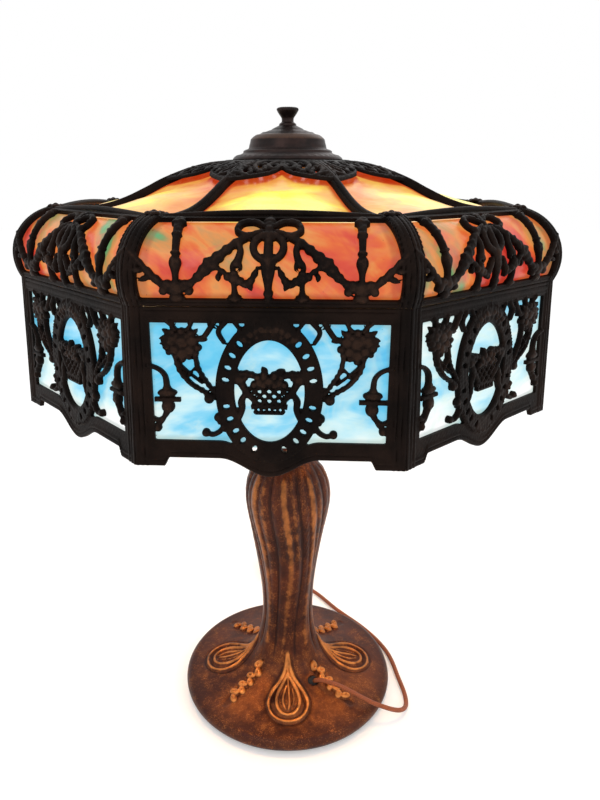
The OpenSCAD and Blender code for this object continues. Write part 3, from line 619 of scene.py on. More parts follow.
def rib_shape():
    """Roof rib over one corner: a flat bar with a bead along its middle, carried down the ogee in
    the plane of the corner. Its ring of points is (sideways, over the roof's line)."""
    half = np.linspace(0, math.pi, 9)
    bead = np.stack([1.7 * np.cos(half), -0.6 + 1.7 * np.sin(half)], 1)
    ring = np.vstack([[(RIB_HALF, -5), (RIB_HALF, -1.9), (RIB_HALF - 0.7, -1.0), (2.0, -1.2)], bead,
                      [(-2.0, -1.2), (0.7 - RIB_HALF, -1.0), (-RIB_HALF, -1.9), (-RIB_HALF, -5)]])
    y = np.linspace(46, EAVE_Y - 1.0, 90)
    r, z = y / math.cos(HALF_ANGLE), roof_height(y)
    tangent = np.stack([np.gradient(r), np.gradient(z)], 1)
    tangent /= np.linalg.norm(tangent, axis=1, keepdims=True)
    rr = r[:, None] - tangent[:, 1:] * ring[None, :, 1]
    zz = z[:, None] + tangent[:, :1] * ring[None, :, 1]
    points = np.stack([ring[None, :, 0] + 0 * rr, -rr, zz], -1)
    count = len(ring)
    faces = grid_faces(len(y), count, wrap_columns=True)[:, ::-1]
    k = np.arange(count // 2 - 1)
    cap = np.stack([k, k + 1, count - 2 - k, count - 1 - k], 1)
    if count % 2:
        cap = np.vstack([cap, [[count // 2 - 1, count // 2, count // 2, count // 2 + 1]]])
    faces = np.vstack([faces, cap, cap[:, ::-1] + (len(y) - 1) * count])
    a = HALF_ANGLE
    turn = np.array([[math.cos(a), math.sin(a), 0], [-math.sin(a), math.cos(a), 0], [0, 0, 1]])
    return points.reshape(-1, 3) @ turn, faces


def trim_edge(a):
    """Distance from the axis of the trim's lower edge: a pointed arch over the middle of a side."""
    return np.interp(np.abs(a), [0, 4, 9, 17, 26, 34, 42], [76, 82.5, 87, 90.6, 93.4, 95.6, 97])


def filigree_field(u, v):
    """Pierced trim at the top of a roof side, with v = minus the distance from the axis. Its lower
    edge is a pointed arch, and leaf shapes are cut out of it."""
    a = -np.abs(u)
    edge = trim_edge(a)
    outline = np.minimum(np.minimum(v + edge, -47 - v), -v * TAN_HALF + a - 1.2)
    relief = mouldings(v + edge, (1.3, 3.3), (1.2, 0.7), 0.9)
    curl = (2.2, 2.2, 2.0, 1.8, 1.5, 1.8)
    lines = [([(-1, -57), (-7, -64), (-10, -72), (-6, -79), (-2.5, -74), (-4, -69)], curl),
             ([(-11, -54), (-17, -62), (-20, -72), (-17, -82), (-12, -80), (-13, -74)], curl),
             ([(-22, -62), (-27, -72), (-30, -81), (-27, -89), (-22, -86), (-23, -80)], (2.0, 2.1) + curl[2:]),
             ([(-31, -78), (-35, -86), (-38, -94)], (1.8, 2.1, 1.6)),
             ([(0, -50), (0, -62), (0, -77)], (2.6, 2.2, 3.0))]
    shapes = [stroke(a, v, points, widths, 1.5) for points, widths in lines]
    band = np.minimum(outline, 3.4 - (v + edge))
    top = np.minimum(outline, v + 53)
    ribs = np.minimum(outline, 4.6 - (-v * TAN_HALF + a))
    shapes += [(band, np.where(band > 0, relief, 0)), (top, half_round(top, 3, 0.5)),
               (ribs, half_round(ribs, 2, 0.4))]
    shapes += [disc(a, v, x, y, 2.4, 2.4, 1.6) for x, y in
               ((-13, -67), (-24, -76), (-33, -86), (-5, -60), (-15.6, -84), (-25.6, -90))]
    inside, height = combined(shapes, a, v)
    return np.minimum(inside, outline), height


def filigree_place(u, v, w):
    """A point of the trim laid over the roof's curve."""
    return np.stack([u, v, roof_height(-v) - TRIM_SUNK + w], -1)


def leaf_boss(columns=40):
    """Small rosette of eight leaves: a dome whose radius and height swell with cos(8 angle)."""
    r = np.array([0.0, 0.8, 1.6, 2.6, 3.8, 5.0, 6.1, 6.9, 7.0, 7.0])
    z = np.array([3.9, 3.8, 3.3, 2.5, 2.7, 2.6, 2.1, 1.1, 0.4, 0.0])
    outline = np.stack([r, z], 1)[::-1]
    outline = np.vstack([[[0, 0]], outline])

    def relief(angle, p):
        """Valleys between the leaves, deeper towards the edge."""
        petal = 0.5 + 0.5 * np.cos(8 * angle)
        r = p[:, :1]
        return -1.5 * (1 - petal) * smoothstep(4.2, 7.0, r) + 0.4 * petal * np.exp(-((r - 4) / 1.4)**2)

    return spindle(outline, columns, relief)


# ---- Stand ------------------------------------------------------------------------------

FRONT_TURN = math.radians(3.5)


def loop(half):
    """A closed outline from its left half, whose two ends lie on the middle line."""
    return half + [(-x, y) for x, y in half[-2::-1]]


PETAL = loop([(0, 30.5), (-2.8, 38), (-8, 46), (-14.4, 55), (-18.8, 65), (-19.4, 73), (-15.6, 80.6),
              (-8.6, 85.2), (0, 86.6)])
INNER_PETAL = loop([(0, 40), (-4.6, 47), (-9.4, 56), (-11.6, 65), (-10.2, 73), (-5.6, 78.2), (0, 79.6)])
SCROLL = [(0.5, 38), (-1.2, 42), (1.2, 48), (-1.2, 54), (1.2, 61), (-1.0, 68), (1.0, 74), (0, 80)]
HOLE_ANGLE, HOLE_R = math.radians(34.5), 50.0
ROLL_R, ROLL_Z = 7.5, 9.0


def stand_outline(foot_radius):
    """Outer outline of the stand from its lowest edge up the roll, foot and stem to the neck, and
    the inner one down the pipe hole and under the foot. Returns it and how many rows are outside."""
    centre, turn = foot_radius - ROLL_R, np.linspace(0, math.pi, 22)
    roll = np.stack([centre + ROLL_R * np.sin(turn), ROLL_Z - ROLL_R * np.cos(turn)], 1)
    foot = smooth_curve([(centre, ROLL_Z + ROLL_R), (87, 18.6), (72, 21.6), (54, 26.4), (42, 33), (34.5, 42)], 10)
    foot = respaced(foot, 76)
    stem = smooth_curve([(34.5, 42), (29, 56), (25.6, 76), (24.6, 95), (25.8, 120), (29.5, 150), (34.2, 180),
                         (38.5, 203), (40.3, 220), (38.7, 235), (33.5, 248), (24, 260), (17, 270), (15, 282),
                         (15.5, 292), (14, 300)], 8)
    stem = respaced(stem, 104)
    outer = np.vstack([roll[:-1], foot[:-1], stem])
    inner = [(5.4, 300), (5.4, 150), (5.4, 38), (24, 37), (31, 33.5), (40, 27.6), (54, 22.2), (72, 17.4),
             (87, 14.4), (97.5, 12), (101, 9), (100, 4), (100.6, 1.5)]
    return np.vstack([outer, inner]), len(outer)


def turned_by(angle, centre):
    """Difference of two angles, brought into -pi to pi."""
    return (angle - centre + math.pi) % (2 * math.pi) - math.pi


def stand_relief(outside):
    """Relief of the stand: ridged petals and scrolls on the foot, drawn with x across each motif
    and the radius along it, and long leaf flutes up the stem."""
    def relief(angle, p):
        r, z = p[:, :1] + 0 * angle, p[:, 1:] + 0 * angle
        total = np.zeros(r.shape)
        outer = np.arange(len(p)) < outside
        rows = outer & (p[:, 0] > 27) & (p[:, 1] < 60)
        fade = smoothstep(60, 44, z)
        for k in range(4):
            d = turned_by(angle, FRONT_TURN + k * math.pi / 2)
            x = np.where(np.abs(d) < 1.2, r * np.sin(d), 99)[rows]
            rr = r[rows]
            ridge = np.zeros(x.shape)
            motifs = [(PETAL, 3.2, 2.5), (INNER_PETAL, 2.9, 2.9),
                      ([(0, 31), (0, 42), (0.8, 55), (1.6, 67), (0.6, 74)], 2.1, 2.4),
                      ([(-1.6, 50), (-4.4, 59), (-5.0, 67), (-2.4, 74)], 2.3, 2.2),
                      ([(4.2, 53), (6.0, 62), (4.6, 71)], 1.8, 1.7),
                      ([(0, 24), (0, 34)], 3.2, 1.8)]
            for points, half, height in motifs:
                d2, _ = stroke(x, rr, points, [half] * len(points), smooth=4)
                swell = smoothstep(0, half, d2)
                ridge = np.maximum(ridge, height * swell * (1 - 0.22 * smoothstep(60, 84, rr)))
            outer_in, _ = stroke(x, rr, PETAL, [5.6] * len(PETAL), smooth=4)
            ridge = ridge - 0.9 * smoothstep(0, 2.4, outer_in) * (1 - smoothstep(0, 0.8, ridge))
            total[rows] += ridge
            d = turned_by(angle, FRONT_TURN + (k + 0.5) * math.pi / 2)
            x = np.where(np.abs(d) < 1.0, r * np.sin(d), 99)[rows]
            scroll, _ = stroke(x, rr, SCROLL, [1.9] * len(SCROLL), smooth=5)
            ridge = 2.2 * smoothstep(0, 1.8, scroll)
            for j in range(8):
                across, along = x - (2.4 if j % 2 else -2.4), rr - 40 - 5.7 * j
                tilt = 0.6 if j % 2 else -0.6
                reach = np.hypot((across + tilt * along) * 0.8, (along - tilt * across) * 1.25)
                curl = smoothstep(5.5, 3.2, reach) * (1 - 0.6 * smoothstep(1.5, 0.4, reach))
                ridge = np.maximum(ridge, 3.3 * curl)
            bank, _ = stroke(x, rr, [(0, 32), (0, 88)], (7.6, 5.0), smooth=2)
            ridge = ridge - 0.6 * smoothstep(0, 2.4, bank) * (1 - smoothstep(0, 0.8, ridge))
            total[rows] += ridge
        total *= fade
        turn = angle - FRONT_TURN
        stem = smoothstep(34, 60, z) * smoothstep(262, 244, z) * outer[:, None]
        drift = turn + 0.10 * np.sin(z / 31) + 0.05 * np.sin(3 * turn + z / 40)
        broad = np.abs(np.cos(4 * drift)) ** 0.7 - 0.5
        narrow = np.abs(np.cos(12 * drift + 0.4)) - 0.5
        vein = np.sin(0.62 * z + 7 * np.abs(turned_by(8 * drift, 0)))
        bulge = smoothstep(120, 190, z)
        total += stem * (2.5 * broad + (0.3 + 1.1 * bulge) * narrow + 0.14 * bulge * vein)
        d = turned_by(angle, HOLE_ANGLE) * r
        near = np.hypot(d, (r - HOLE_R) * 1.12)
        on_foot = ((p[:, 1] < 40) & outer)[:, None]
        total = np.where(on_foot, total * smoothstep(4.5, 8.5, near), total)
        total += on_foot * (0.7 * np.exp(-((near - 6.2) / 1.1) ** 2) - 3.2 * smoothstep(5.4, 4.6, near))
        return total

    return relief


# ---- Cord -------------------------------------------------------------------------------

CORD_ROUTE = [(29.5, -41.6, 28.8), (34.4, -43.6, 31.6), (40.4, -46.4, 33.2), (48.5, -49.6, 33.6),
              (58, -53, 32.4), (68, -56.6, 29.8), (78, -59.8, 26.6), (88, -62.2, 23.2),
              (98, -63, 19.8), (107.5, -61.8, 15.6), (115.4, -57.8, 11), (121, -51.2, 7),
              (124.2, -42.8, 4), (125.2, -33, 2.5)]
CORD_ROUTE += [(x, y, CORD_R) for x, y in (
    (124.4, -22.4), (122.4, -11.2), (120.2, 0), (118.2, 12), (115.8, 24), (112, 37), (106, 50),
    (98, 63.4), (88.6, 76.4), (77.8, 89), (66, 101.4), (54.6, 114), (44.8, 126.4), (35.4, 138.8),
    (25.2, 150), (13.8, 158.8), (1.4, 164.2), (-11, 166))]
COIL_X, COIL_Y, COIL_R, PITCH, PLUG_R = -11.0, 195.0, 24.5, 2 * CORD_R, 9.0
PLUG_Z = 3 * PITCH + PLUG_R
CORD_STEP = 2.6


def cord_line():
    """The whole cord: its route from the foot, then 8.75 turns wound in three layers of three, each
    turn stepping over to the next place near its end, then half a turn up to the plug."""
    route = smooth_curve(CORD_ROUTE, 5)
    columns = np.array([0, 1, 2, 2, 1, 0, 0, 1, 2, 2])
    layers = np.array([0, 0, 0, 1, 1, 1, 2, 2, 2, 2])
    turns = np.linspace(0, 8.75, 560)
    k = np.floor(turns).astype(int)
    step = smoothstep(0.5, 1.0, turns - k)
    column = columns[k] + (columns[k + 1] - columns[k]) * step
    layer = layers[k] + (layers[k + 1] - layers[k]) * step
    angle = -math.pi / 2 - 2 * math.pi * turns
    r = COIL_R + (1 - column) * PITCH
    coil = np.stack([COIL_X + r * np.cos(angle), COIL_Y + r * np.sin(angle), CORD_R + layer * PITCH], 1)
    t = np.linspace(0, 1, 34)
    rise = 3 * t**2 - 2 * t**3
    r = COIL_R - PITCH + PITCH * rise
    tail = np.stack([COIL_X + r * np.cos(-math.pi * t), COIL_Y + r * np.sin(-math.pi * t),
                     CORD_R + 2 * PITCH + (PLUG_Z - 3 * PITCH + CORD_R) * rise], 1)
    line = np.vstack([route, coil[1:], tail[1:]])
    return respaced(line, int(length_along(line)[-1] / CORD_STEP))


def plug_shape():
    """Plug turned about its cord: a soft sleeve with grip rings, a cone and a round body."""
    z = np.array([-6, -5.9, -5.2, -4.8, -4.2, -3.8, -3.2, -2.8, -1.6, -1.2, -0.4, 0, 2, 6, 10, 12,
                  13, 14, 15, 16, 17, 18, 19, 20, 21, 24.6, 25.6, 26, 26.0])
    r = np.array([0, 2.6, 3.0, 3.6, 3.6, 3.1, 3.1, 3.8, 3.8, 3.3, 3.3, 3.9, 4.6, 6.3, 8.0, 8.8]
                 + 4 * [8.2, 8.9] + [9, 9, 8.6, 7.6, 0])
    points, faces = spindle(np.stack([r, z], 1), 40)
    centre = np.array([COIL_X - COIL_R, COIL_Y, PLUG_Z])
    turned = np.stack([points[:, 0], points[:, 2], -points[:, 1]], 1)
    return turned + centre, faces


# ---- Materials --------------------------------------------------------------------------

def tint(r, g, b):
    """A colour given in 0 to 255 display steps, as the linear values that shaders use."""
    c = np.array([r, g, b]) / 255
    linear = np.where(c <= 0.04045, c / 12.92, ((c + 0.055) / 1.055) ** 2.4)
    return (*[float(x) for x in linear], 1.0)


class Wire:
    """A shader socket that arithmetic works on: every operator adds a Math node."""

    def __init__(self, craft, socket):
        self.craft, self.socket = craft, socket

    def _maths(self, operation, first, second):
        return self.craft.node("Math", {"operation": operation}, {0: first, 1: second})

    def __add__(self, other):
        return self._maths("ADD", self, other)

    def __sub__(self, other):
        return self._maths("SUBTRACT", self, other)

    def __rsub__(self, other):
        return self._maths("SUBTRACT", other, self)

    def __mul__(self, other):
        return self._maths("MULTIPLY", self, other)

    def __pow__(self, other):
        return self._maths("POWER", self, other)

    __radd__, __rmul__ = __add__, __mul__


class Craft:
    """A material being made."""

    def __init__(self, name):
        self.material = bpy.data.materials.new(name)
        self.material.use_nodes = True
        self.tree = self.material.node_tree
        self.tree.nodes.clear()

    def node(self, kind, settings=None, sockets=None, out=0):
        """Adds one node: settings first, then the values or links of its sockets, by name or number."""
        n = self.tree.nodes.new("ShaderNode" + kind)
        for key, value in (settings or {}).items():
            if key == "stops":
                elements = n.color_ramp.elements
                while len(elements) < len(value):
                    elements.new(1.0)
                for element, (place, colour) in zip(elements, value):
                    element.position, element.color = place, colour
            else:
                setattr(n, key, value)
        for key, value in (sockets or {}).items():
            if isinstance(value, Wire):
                self.tree.links.new(value.socket, n.inputs[key])
            else:
                n.inputs[key].default_value = value
        return Wire(self, n.outputs[out])

    def mix(self, factor, a, b):
        """Two colours mixed by a factor."""
        return self.node("Mix", {"data_type": "RGBA"}, {0: factor, 6: a, 7: b}, out=2)

    def ramp(self, value, stops):
        """A colour picked by a value from (place, colour) stops."""
        return self.node("ValToRGB", {"stops": stops}, {0: value})

    def within(self, value, low, high, to_low=0.0, to_high=1.0):
        """A value carried smoothly from one range to another."""
        return self.node("MapRange", {"interpolation_type": "SMOOTHSTEP"},
                         {0: value, 1: low, 2: high, 3: to_low, 4: to_high})

    def noise(self, vector, scale, detail=3.0, rough=0.55, distortion=0.0):
        """Cloudy noise, about 0 to 1."""
        return self.node("TexNoise", None, {"Vector": vector, "Scale": scale, "Detail": detail,
                                            "Roughness": rough, "Distortion": distortion})

    def attribute(self, name):
        """A number kept at the piece's points."""
        return self.node("Attribute", {"attribute_name": name}, out=2)

    def place(self, turn=(0, 0, 0), stretch=(1, 1, 1), uv=False):
        """Object coordinates, or the piece's own UV map, turned, then stretched along the new axes."""
        source = self.node("UVMap", {"uv_map": "UVMap"}) if uv else self.node("TexCoord", None, None, out=3)
        return self.node("Mapping", {"vector_type": "TEXTURE"},
                         {"Vector": source, "Rotation": turn, "Scale": stretch})

    def split(self, vector):
        """The three numbers of a place."""
        return [self.node("SeparateXYZ", None, {0: vector}, out=k) for k in range(3)]

    def bump(self, height, strength, distance):
        """A normal tipped by a height."""
        return self.node("Bump", None, {"Height": height, "Strength": strength, "Distance": distance})

    def surface(self, **values):
        """The finish: a Principled shader with these values, whose names have _ for spaces."""
        shader = self.node("BsdfPrincipled", None, {k.replace("_", " "): v for k, v in values.items()})
        output = self.tree.nodes.new("ShaderNodeOutputMaterial")
        self.tree.links.new(shader.socket, output.inputs["Surface"])
        return self.material


def shade_bronze(colours):
    """Dark brown bronze, lighter on what stands proud (partly rubbed wear, partly a painted highlight on the
    raised mouldings), with a fine cast grain.
    """
    m = Craft("shade_bronze")
    xyz = m.place()
    cloud = m.noise(xyz, 28, 4, 0.6)
    grain = m.noise(xyz, 900, 2, 0.6)
    raised = m.within(m.attribute("relief"), 0.3, 2.3)
    dark = m.mix(m.within(cloud, 0.35, 0.7), tint(14, 8, 6), tuple(colours.shade_brown))
    # Lighter on the raised relief: rubbed wear with a painted highlight.
    wear_and_highlight = m.mix(m.within(raised + (grain - 0.5) * 0.9 + (cloud - 0.5) * 1.4, 0.5, 1.25) * 0.75, dark,
                 tint(52, 35, 26))
    rough = 0.5 + grain * 0.3 - raised * 0.1
    height = m.noise(xyz, 420, 3, 0.65) * 0.7 + cloud * 0.3
    return m.surface(Base_Color=wear_and_highlight, Metallic=0.8, Roughness=rough, Specular_IOR_Level=0.25,
                     Normal=m.bump(height, 0.4, 0.0008))


def crown_bronze(colours):
    """Smoother dark brown bronze of the crown and finial, with a soft sheen, and lighter on the raised beads and
    lines: partly rubbed wear, partly a painted highlight.
    """
    m = Craft("crown_bronze")
    xyz = m.place()
    cloud, grain = m.noise(xyz, 45, 4, 0.6), m.noise(xyz, 700, 2, 0.6)
    raised = m.within(m.attribute("relief"), 0.1, 0.9)
    dark = m.mix(m.within(cloud, 0.35, 0.68), tint(21, 12, 11), tuple(colours.crown_brown))
    # Lighter on the raised beads and lines: rubbed wear with a painted highlight for the sheen on the flange.
    wear_and_highlight = m.mix(m.within(raised + (grain - 0.5) * 0.6, 0.4, 1.1) * 0.7, dark, tint(92, 66, 50))
    return m.surface(Base_Color=wear_and_highlight, Metallic=0.7, Roughness=0.34 + grain * 0.25,
                     Normal=m.bump(m.noise(xyz, 300, 3, 0.6), 0.2, 0.0005))


def base_patina(colours):
    """Copper-brown patina: purple-brown in the hollows, copper on the foot, and rubbed to gold
    along the raised lines. Painted light and shade lie over it: the stem is painted darker
    purple-brown for the shadow under its bulge and the socket cluster, the copper is painted
    brighter towards the front where the bulbs light the foot and darker towards the rim, and
    the gold is painted stronger at the front as a highlight."""
    m = Craft("base_patina")
    xyz = m.place()
    x, y, z = m.split(xyz)
    cloud = m.noise(xyz, 16, 5, 0.62, 0.6)
    mottle = m.noise(xyz, 90, 4, 0.65)
    grain = m.noise(xyz, 1100, 2, 0.6)
    raised = m.within(m.attribute("relief"), 0.3, 2.0)
    high = m.within(z, 0.04, 0.11)
    rim = m.within((x * x + y * y) ** 0.5, 0.086, 0.105)
    # Painted light: brighter copper towards the front of the foot, where the bulbs' light falls.
    front = m.within(y + (cloud - 0.5) * 0.04, 0.03, -0.075)
    front_lit_copper = m.mix(front * 0.7, tuple(colours.copper), tint(132, 72, 30))
    copper = m.mix(m.within(cloud + (mottle - 0.5) * 0.7, 0.28, 0.68), tint(60, 26, 15), front_lit_copper)
    # Painted shade: the copper darkens towards the rim, away from the bulbs' light.
    copper = m.mix(rim * 0.7, copper, tint(56, 26, 19))
    stem = m.mix(m.within(cloud + (mottle - 0.5) * 0.4, 0.34, 0.68), tint(40, 19, 15), tint(76, 35, 22))
    # Painted shade: from the stem's foot up, the copper gives way to the darker stem tones, for the shadow under
    # the bulge and the socket cluster.
    body = m.mix(high * 0.85, copper, stem)
    speck = m.mix(m.within(grain + (mottle - 0.5) * 0.6, 0.56, 0.74) * 0.3, body, tuple(colours.rubbed_gold))
    rubbed = m.within(raised + (mottle - 0.5) * 1.5 + (cloud - 0.5) * 1.0, 0.35, 1.25)
    # Gold rubbed along the raised lines, painted stronger at the front as a highlight and weaker up the stem.
    wear_and_highlight = m.mix(rubbed * (0.55 + front * 0.4) * (1 - high * 0.55), speck, tuple(colours.rubbed_gold))
    sunk = m.within(m.attribute("relief"), -0.15, -1.0)
    deep = m.mix(sunk * 0.75, wear_and_highlight, tint(40, 18, 14))
    rough = 0.33 + mottle * 0.22 + grain * 0.08 - raised * 0.08
    height = m.noise(xyz, 260, 4, 0.65) * 0.6 + mottle * 0.5
    return m.surface(Base_Color=deep, Metallic=0.75, Roughness=rough, Normal=m.bump(height, 0.3, 0.0009))


def slag_glass(name, stops, veil, veil_share, glow, turn, stretch, edge, edge_share, speck=0.5,
               size=1.6, contrast=1.0):
    """Streaky opalescent glass, whose light from the bulbs behind it is painted on as its own glow.
    Two layers of distorted noise, stretched along the streaks on the pane's own map, pick the
    colour; a second colour lies over part of it, and dirt gathers as small dark specks near the
    edges. The attributes tone and rim shift a pane's colour and dim the painted glow towards its
    border, a painted shade along the frame."""
    m = Craft(name)
    uv = m.place(turn, stretch, uv=True)
    flat = m.place(uv=True)
    tone, rim = m.attribute("tone"), m.attribute("rim")
    streak = (m.noise(uv, size, 4, 0.5, 1.3) - 0.5) * contrast + 0.5
    fine = m.noise(uv, 6.0, 3, 0.55, 0.8)
    wisp = m.noise(flat, 2.1, 3, 0.5, 2.2)
    colour = m.ramp(streak + (fine - 0.5) * 0.28 + tone, stops)
    colour = m.mix(m.within(wisp, 0.5, 0.72) * veil_share, colour, veil)
    dots = m.within(m.noise(flat, 42, 2, 0.5), 0.70, 0.76) * m.within(rim, 0.75, 0.15)
    colour = m.mix(dots * speck, colour, tint(70, 38, 22))
    # Painted shade: the glow dims to the edge colour towards the pane's border, along the frame.
    lit = m.mix(m.within(rim + (fine - 0.5) * 0.2, 0.10, 0.32, edge_share, 0.0), colour, edge)
    wave = m.noise(flat, 3.4, 3, 0.5, 0.8)
    return m.surface(Base_Color=m.mix(0.86, colour, tint(20, 18, 16)), Roughness=0.24 + fine * 0.12,
                     Specular_IOR_Level=0.3, Emission_Color=lit, Emission_Strength=glow, Coat_Weight=0.08,
                     Coat_Roughness=0.12,
                     Normal=m.bump(wave + fine * 0.2, 0.3, 0.004))


def glasses(colours):
    """The three kinds of glass."""
    roof = slag_glass("roof_glass", [
        (0.0, tint(196, 62, 18)), (0.2, tint(220, 104, 38)), (0.36, tint(232, 150, 66)),
        (0.54, tint(240, 186, 80)), (0.7, tuple(colours.roof_yellow)), (0.92, tint(255, 246, 70))],
        tint(236, 172, 96), 0.35, 0.92, (0, 0, 0.3), (1.6, 0.9, 1), tint(188, 44, 8), 0.95, 0.4)
    shoulder = slag_glass("shoulder_glass", [
        (0.24, tint(186, 38, 30)), (0.36, tint(212, 70, 46)), (0.45, tuple(colours.shoulder_orange)),
        (0.54, tint(226, 140, 68)), (0.62, tint(196, 140, 80)), (0.69, tint(136, 148, 92)),
        (0.8, tint(78, 168, 112))],
        tint(216, 84, 78), 0.6, 0.88, (0, 0, -0.75), (1.5, 0.75, 1), tint(150, 48, 18), 0.5, 0.8, 1.3, 1.6)
    skirt = slag_glass("skirt_glass", [
        (0.24, tint(70, 170, 222)), (0.38, tuple(colours.skirt_blue)), (0.48, tint(136, 208, 236)),
        (0.58, tint(186, 228, 238)), (0.7, tint(222, 240, 238)), (0.85, tint(250, 250, 250))],
        tint(214, 232, 220), 0.45, 0.93, (0, 0, 0.05), (1.7, 0.8, 1), tint(120, 150, 140), 0.35, 0.8,
        1.35, 1.25)
    return roof, shoulder, skirt


def plain_metal(name, low, high, metallic, rough, grain_scale=500):
    """Plain metal with clouds of tarnish and a fine brushed grain."""
    m = Craft(name)
    xyz = m.place()
    cloud, grain = m.noise(xyz, 60, 4, 0.6), m.noise(xyz, grain_scale, 3, 0.6)
    colour = m.mix(m.within(cloud + (grain - 0.5) * 0.3, 0.35, 0.68), low, high)
    return m.surface(Base_Color=colour, Metallic=metallic, Roughness=rough + grain * 0.2,
                     Normal=m.bump(grain, 0.15, 0.0003))


def soft_stuff(name, low, high, scale, rough=0.85):
    """Matt card, felt, fibre or woven stuff: two tones mixed by a dense, uneven grain."""
    m = Craft(name)
    xyz = m.place()
    fuzz, cloud = m.noise(xyz, scale, 4, 0.7), m.noise(xyz, scale / 14, 3, 0.6)
    colour = m.mix(m.within(fuzz + (cloud - 0.5) * 0.5, 0.35, 0.66), low, high)
    return m.surface(Base_Color=colour, Roughness=rough + (fuzz - 0.5) * 0.2, Normal=m.bump(fuzz, 0.5, 0.0005))


def bulb_glow(name, strength):
    """Frosted bulb: brightest round its middle, warmer towards the cap."""
    m = Craft(name)
    xyz = m.place()
    mist = m.noise(xyz, 120, 2, 0.5)
    warm = m.mix(m.within(m.attribute("reach"), 0.25, 0.75), tint(255, 176, 96), tint(255, 226, 170))
    warm = m.mix(m.within(mist, 0.3, 0.8) * 0.15, warm, tint(255, 240, 214))
    return m.surface(Base_Color=tint(250, 240, 222), Roughness=0.35 + mist * 0.15, Emission_Color=warm,
                     Emission_Strength=strength)


def braided_cord(colours):
    """Cord cover: two sets of threads cross on the slant round the cord, on its own map, where the
    first number runs round it and the second counts its length."""
    m = Craft("cord_cover")
    uv = m.place(uv=True)
    u, v, _ = m.split(uv)
    left, right = [m.node("Math", {"operation": "SINE"}, {0: (u * 6 + v * slant) * (2 * math.pi)})
                   for slant in (5, -5)]
    weave = left * right
    fuzz = m.noise(m.place(), 1500, 2, 0.6)
    colour = m.mix(m.within(weave + (fuzz - 0.5), -0.7, 0.7), tint(58, 27, 15), tuple(colours.cord))
    return m.surface(Base_Color=colour, Roughness=0.5 + fuzz * 0.25,
                     Normal=m.bump(weave + fuzz * 0.4, 0.5, 0.0003))


def paint(node_names, material):
    """Puts a material on carried-over parts of the frame."""
    for name in node_names:
        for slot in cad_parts[name].material_slots:
            slot.material = material


# ---- Settings ---------------------------------------------------------------------------

class LampSizes(bpy.types.PropertyGroup):
    casting_grid: bpy.props.FloatProperty(
        name="Casting grid", description="Spacing of the points of the openwork castings", default=0.8 * MM,
        unit="LENGTH", precision=5)
    foot_radius: bpy.props.FloatProperty(
        name="Foot radius", description="Radius of the foot, from the frame", default=FOOT_R * MM,
        unit="LENGTH")
    glass_bulge: bpy.props.FloatProperty(
        name="Glass bulge", description="How far the roof panes arch over their edges", default=9.5 * MM,
        unit="LENGTH")
    cord_radius: bpy.props.FloatProperty(
        name="Cord radius", description="Radius of the covered cord", default=CORD_R * MM, unit="LENGTH",
        precision=5)
    lamp_watts: bpy.props.FloatProperty(
        name="Bulb light", description="Light of each bulb", default=2.6, unit="POWER")


def colour_property(name, description, default):
    """A colour setting."""
    return bpy.props.FloatVectorProperty(name=name, description=description, subtype="COLOR", size=4,
                                         min=0, max=1, default=default)


class LampColours(bpy.types.PropertyGroup):
    shade_brown: colour_property("Shade brown", "Lighter brown of the castings", tint(32, 21, 16))
    crown_brown: colour_property("Crown brown", "Lighter brown of the crown", tint(46, 29, 25))
    copper: colour_property("Copper", "Copper tone of the foot", tint(84, 38, 18))
    # This gold serves for the rubbed wear and also for the painted highlight along the foot's raised lines.
    rubbed_gold: colour_property("Rubbed gold", "Tone of the rubbed raised lines", tint(222, 138, 68))
    roof_yellow: colour_property("Roof yellow", "Middle of the roof panes", tint(255, 238, 84))
    shoulder_orange: colour_property("Shoulder orange", "Main tone of the shoulder panes", tint(224, 106, 46))
    skirt_blue: colour_property("Skirt blue", "Main tone of the skirt panes", tint(96, 196, 232))
    cord: colour_property("Cord", "Lighter thread of the cord", tint(178, 88, 36))


# ---- Operators --------------------------------------------------------------------------

class LAMP_OT_camera(bpy.types.Operator):
    """Place the camera in front of the lamp, a little to the right and looking down"""
    bl_idname = "lamp.camera"
    bl_label = "Camera"

    def execute(self, context):
        away, height, turn, pitch = 0.5868, 0.5182, math.radians(3.19), math.radians(18.89)
        camera = bpy.data.cameras.new("camera")
        camera.lens, camera.shift_x, camera.shift_y = 29.51, 0.0154, 0.0011
        view = bpy.data.objects.new("camera", camera)
        view.location = (away * math.sin(turn), -away * math.cos(turn), height)
        view.rotation_euler = (math.pi / 2 - pitch, 0, turn)
        context.scene.collection.objects.link(view)
        context.scene.camera = view
        return {"FINISHED"}


class LAMP_OT_cord(bpy.types.Operator):
    """Lay the cord from the foot to its coil, with its plug and tie"""
    bl_idname = "lamp.cord"
    bl_label = "Cord and plug"

    def execute(self, context):
        colours, radius = context.scene.lamp_colours, context.scene.lamp_sizes.cord_radius / MM
        line = cord_line()
        points, faces = swept(line, radius, CORD_SIDES)
        round_it = np.tile(np.arange(CORD_SIDES) / CORD_SIDES, len(line))
        length = length_along(line)
        uv = np.stack([round_it, np.repeat(length / 10, CORD_SIDES)], 1)
        cord = new_piece("cord_braid", points, faces, braided_cord(colours), "stand",
                         ("cord", "cord_coil", "cord_tail"), uv=uv, smooth_angle=0)
        points, faces = plug_shape()
        shell = soft_stuff("plug_shell", tint(26, 18, 14), tint(44, 30, 24), 900, 0.45)
        plug = new_piece("plug_grip", points, faces, shell, "stand", ("plug_body",))
        paint(["coil_tie"], soft_stuff("tie_strap", tint(14, 14, 15), tint(34, 34, 36), 1400))
        blade = plain_metal("plug_blade_brass", tint(170, 130, 70), tint(214, 180, 110), 1.0, 0.25)
        paint(["plug_blades"], blade)
        return {"FINISHED"}


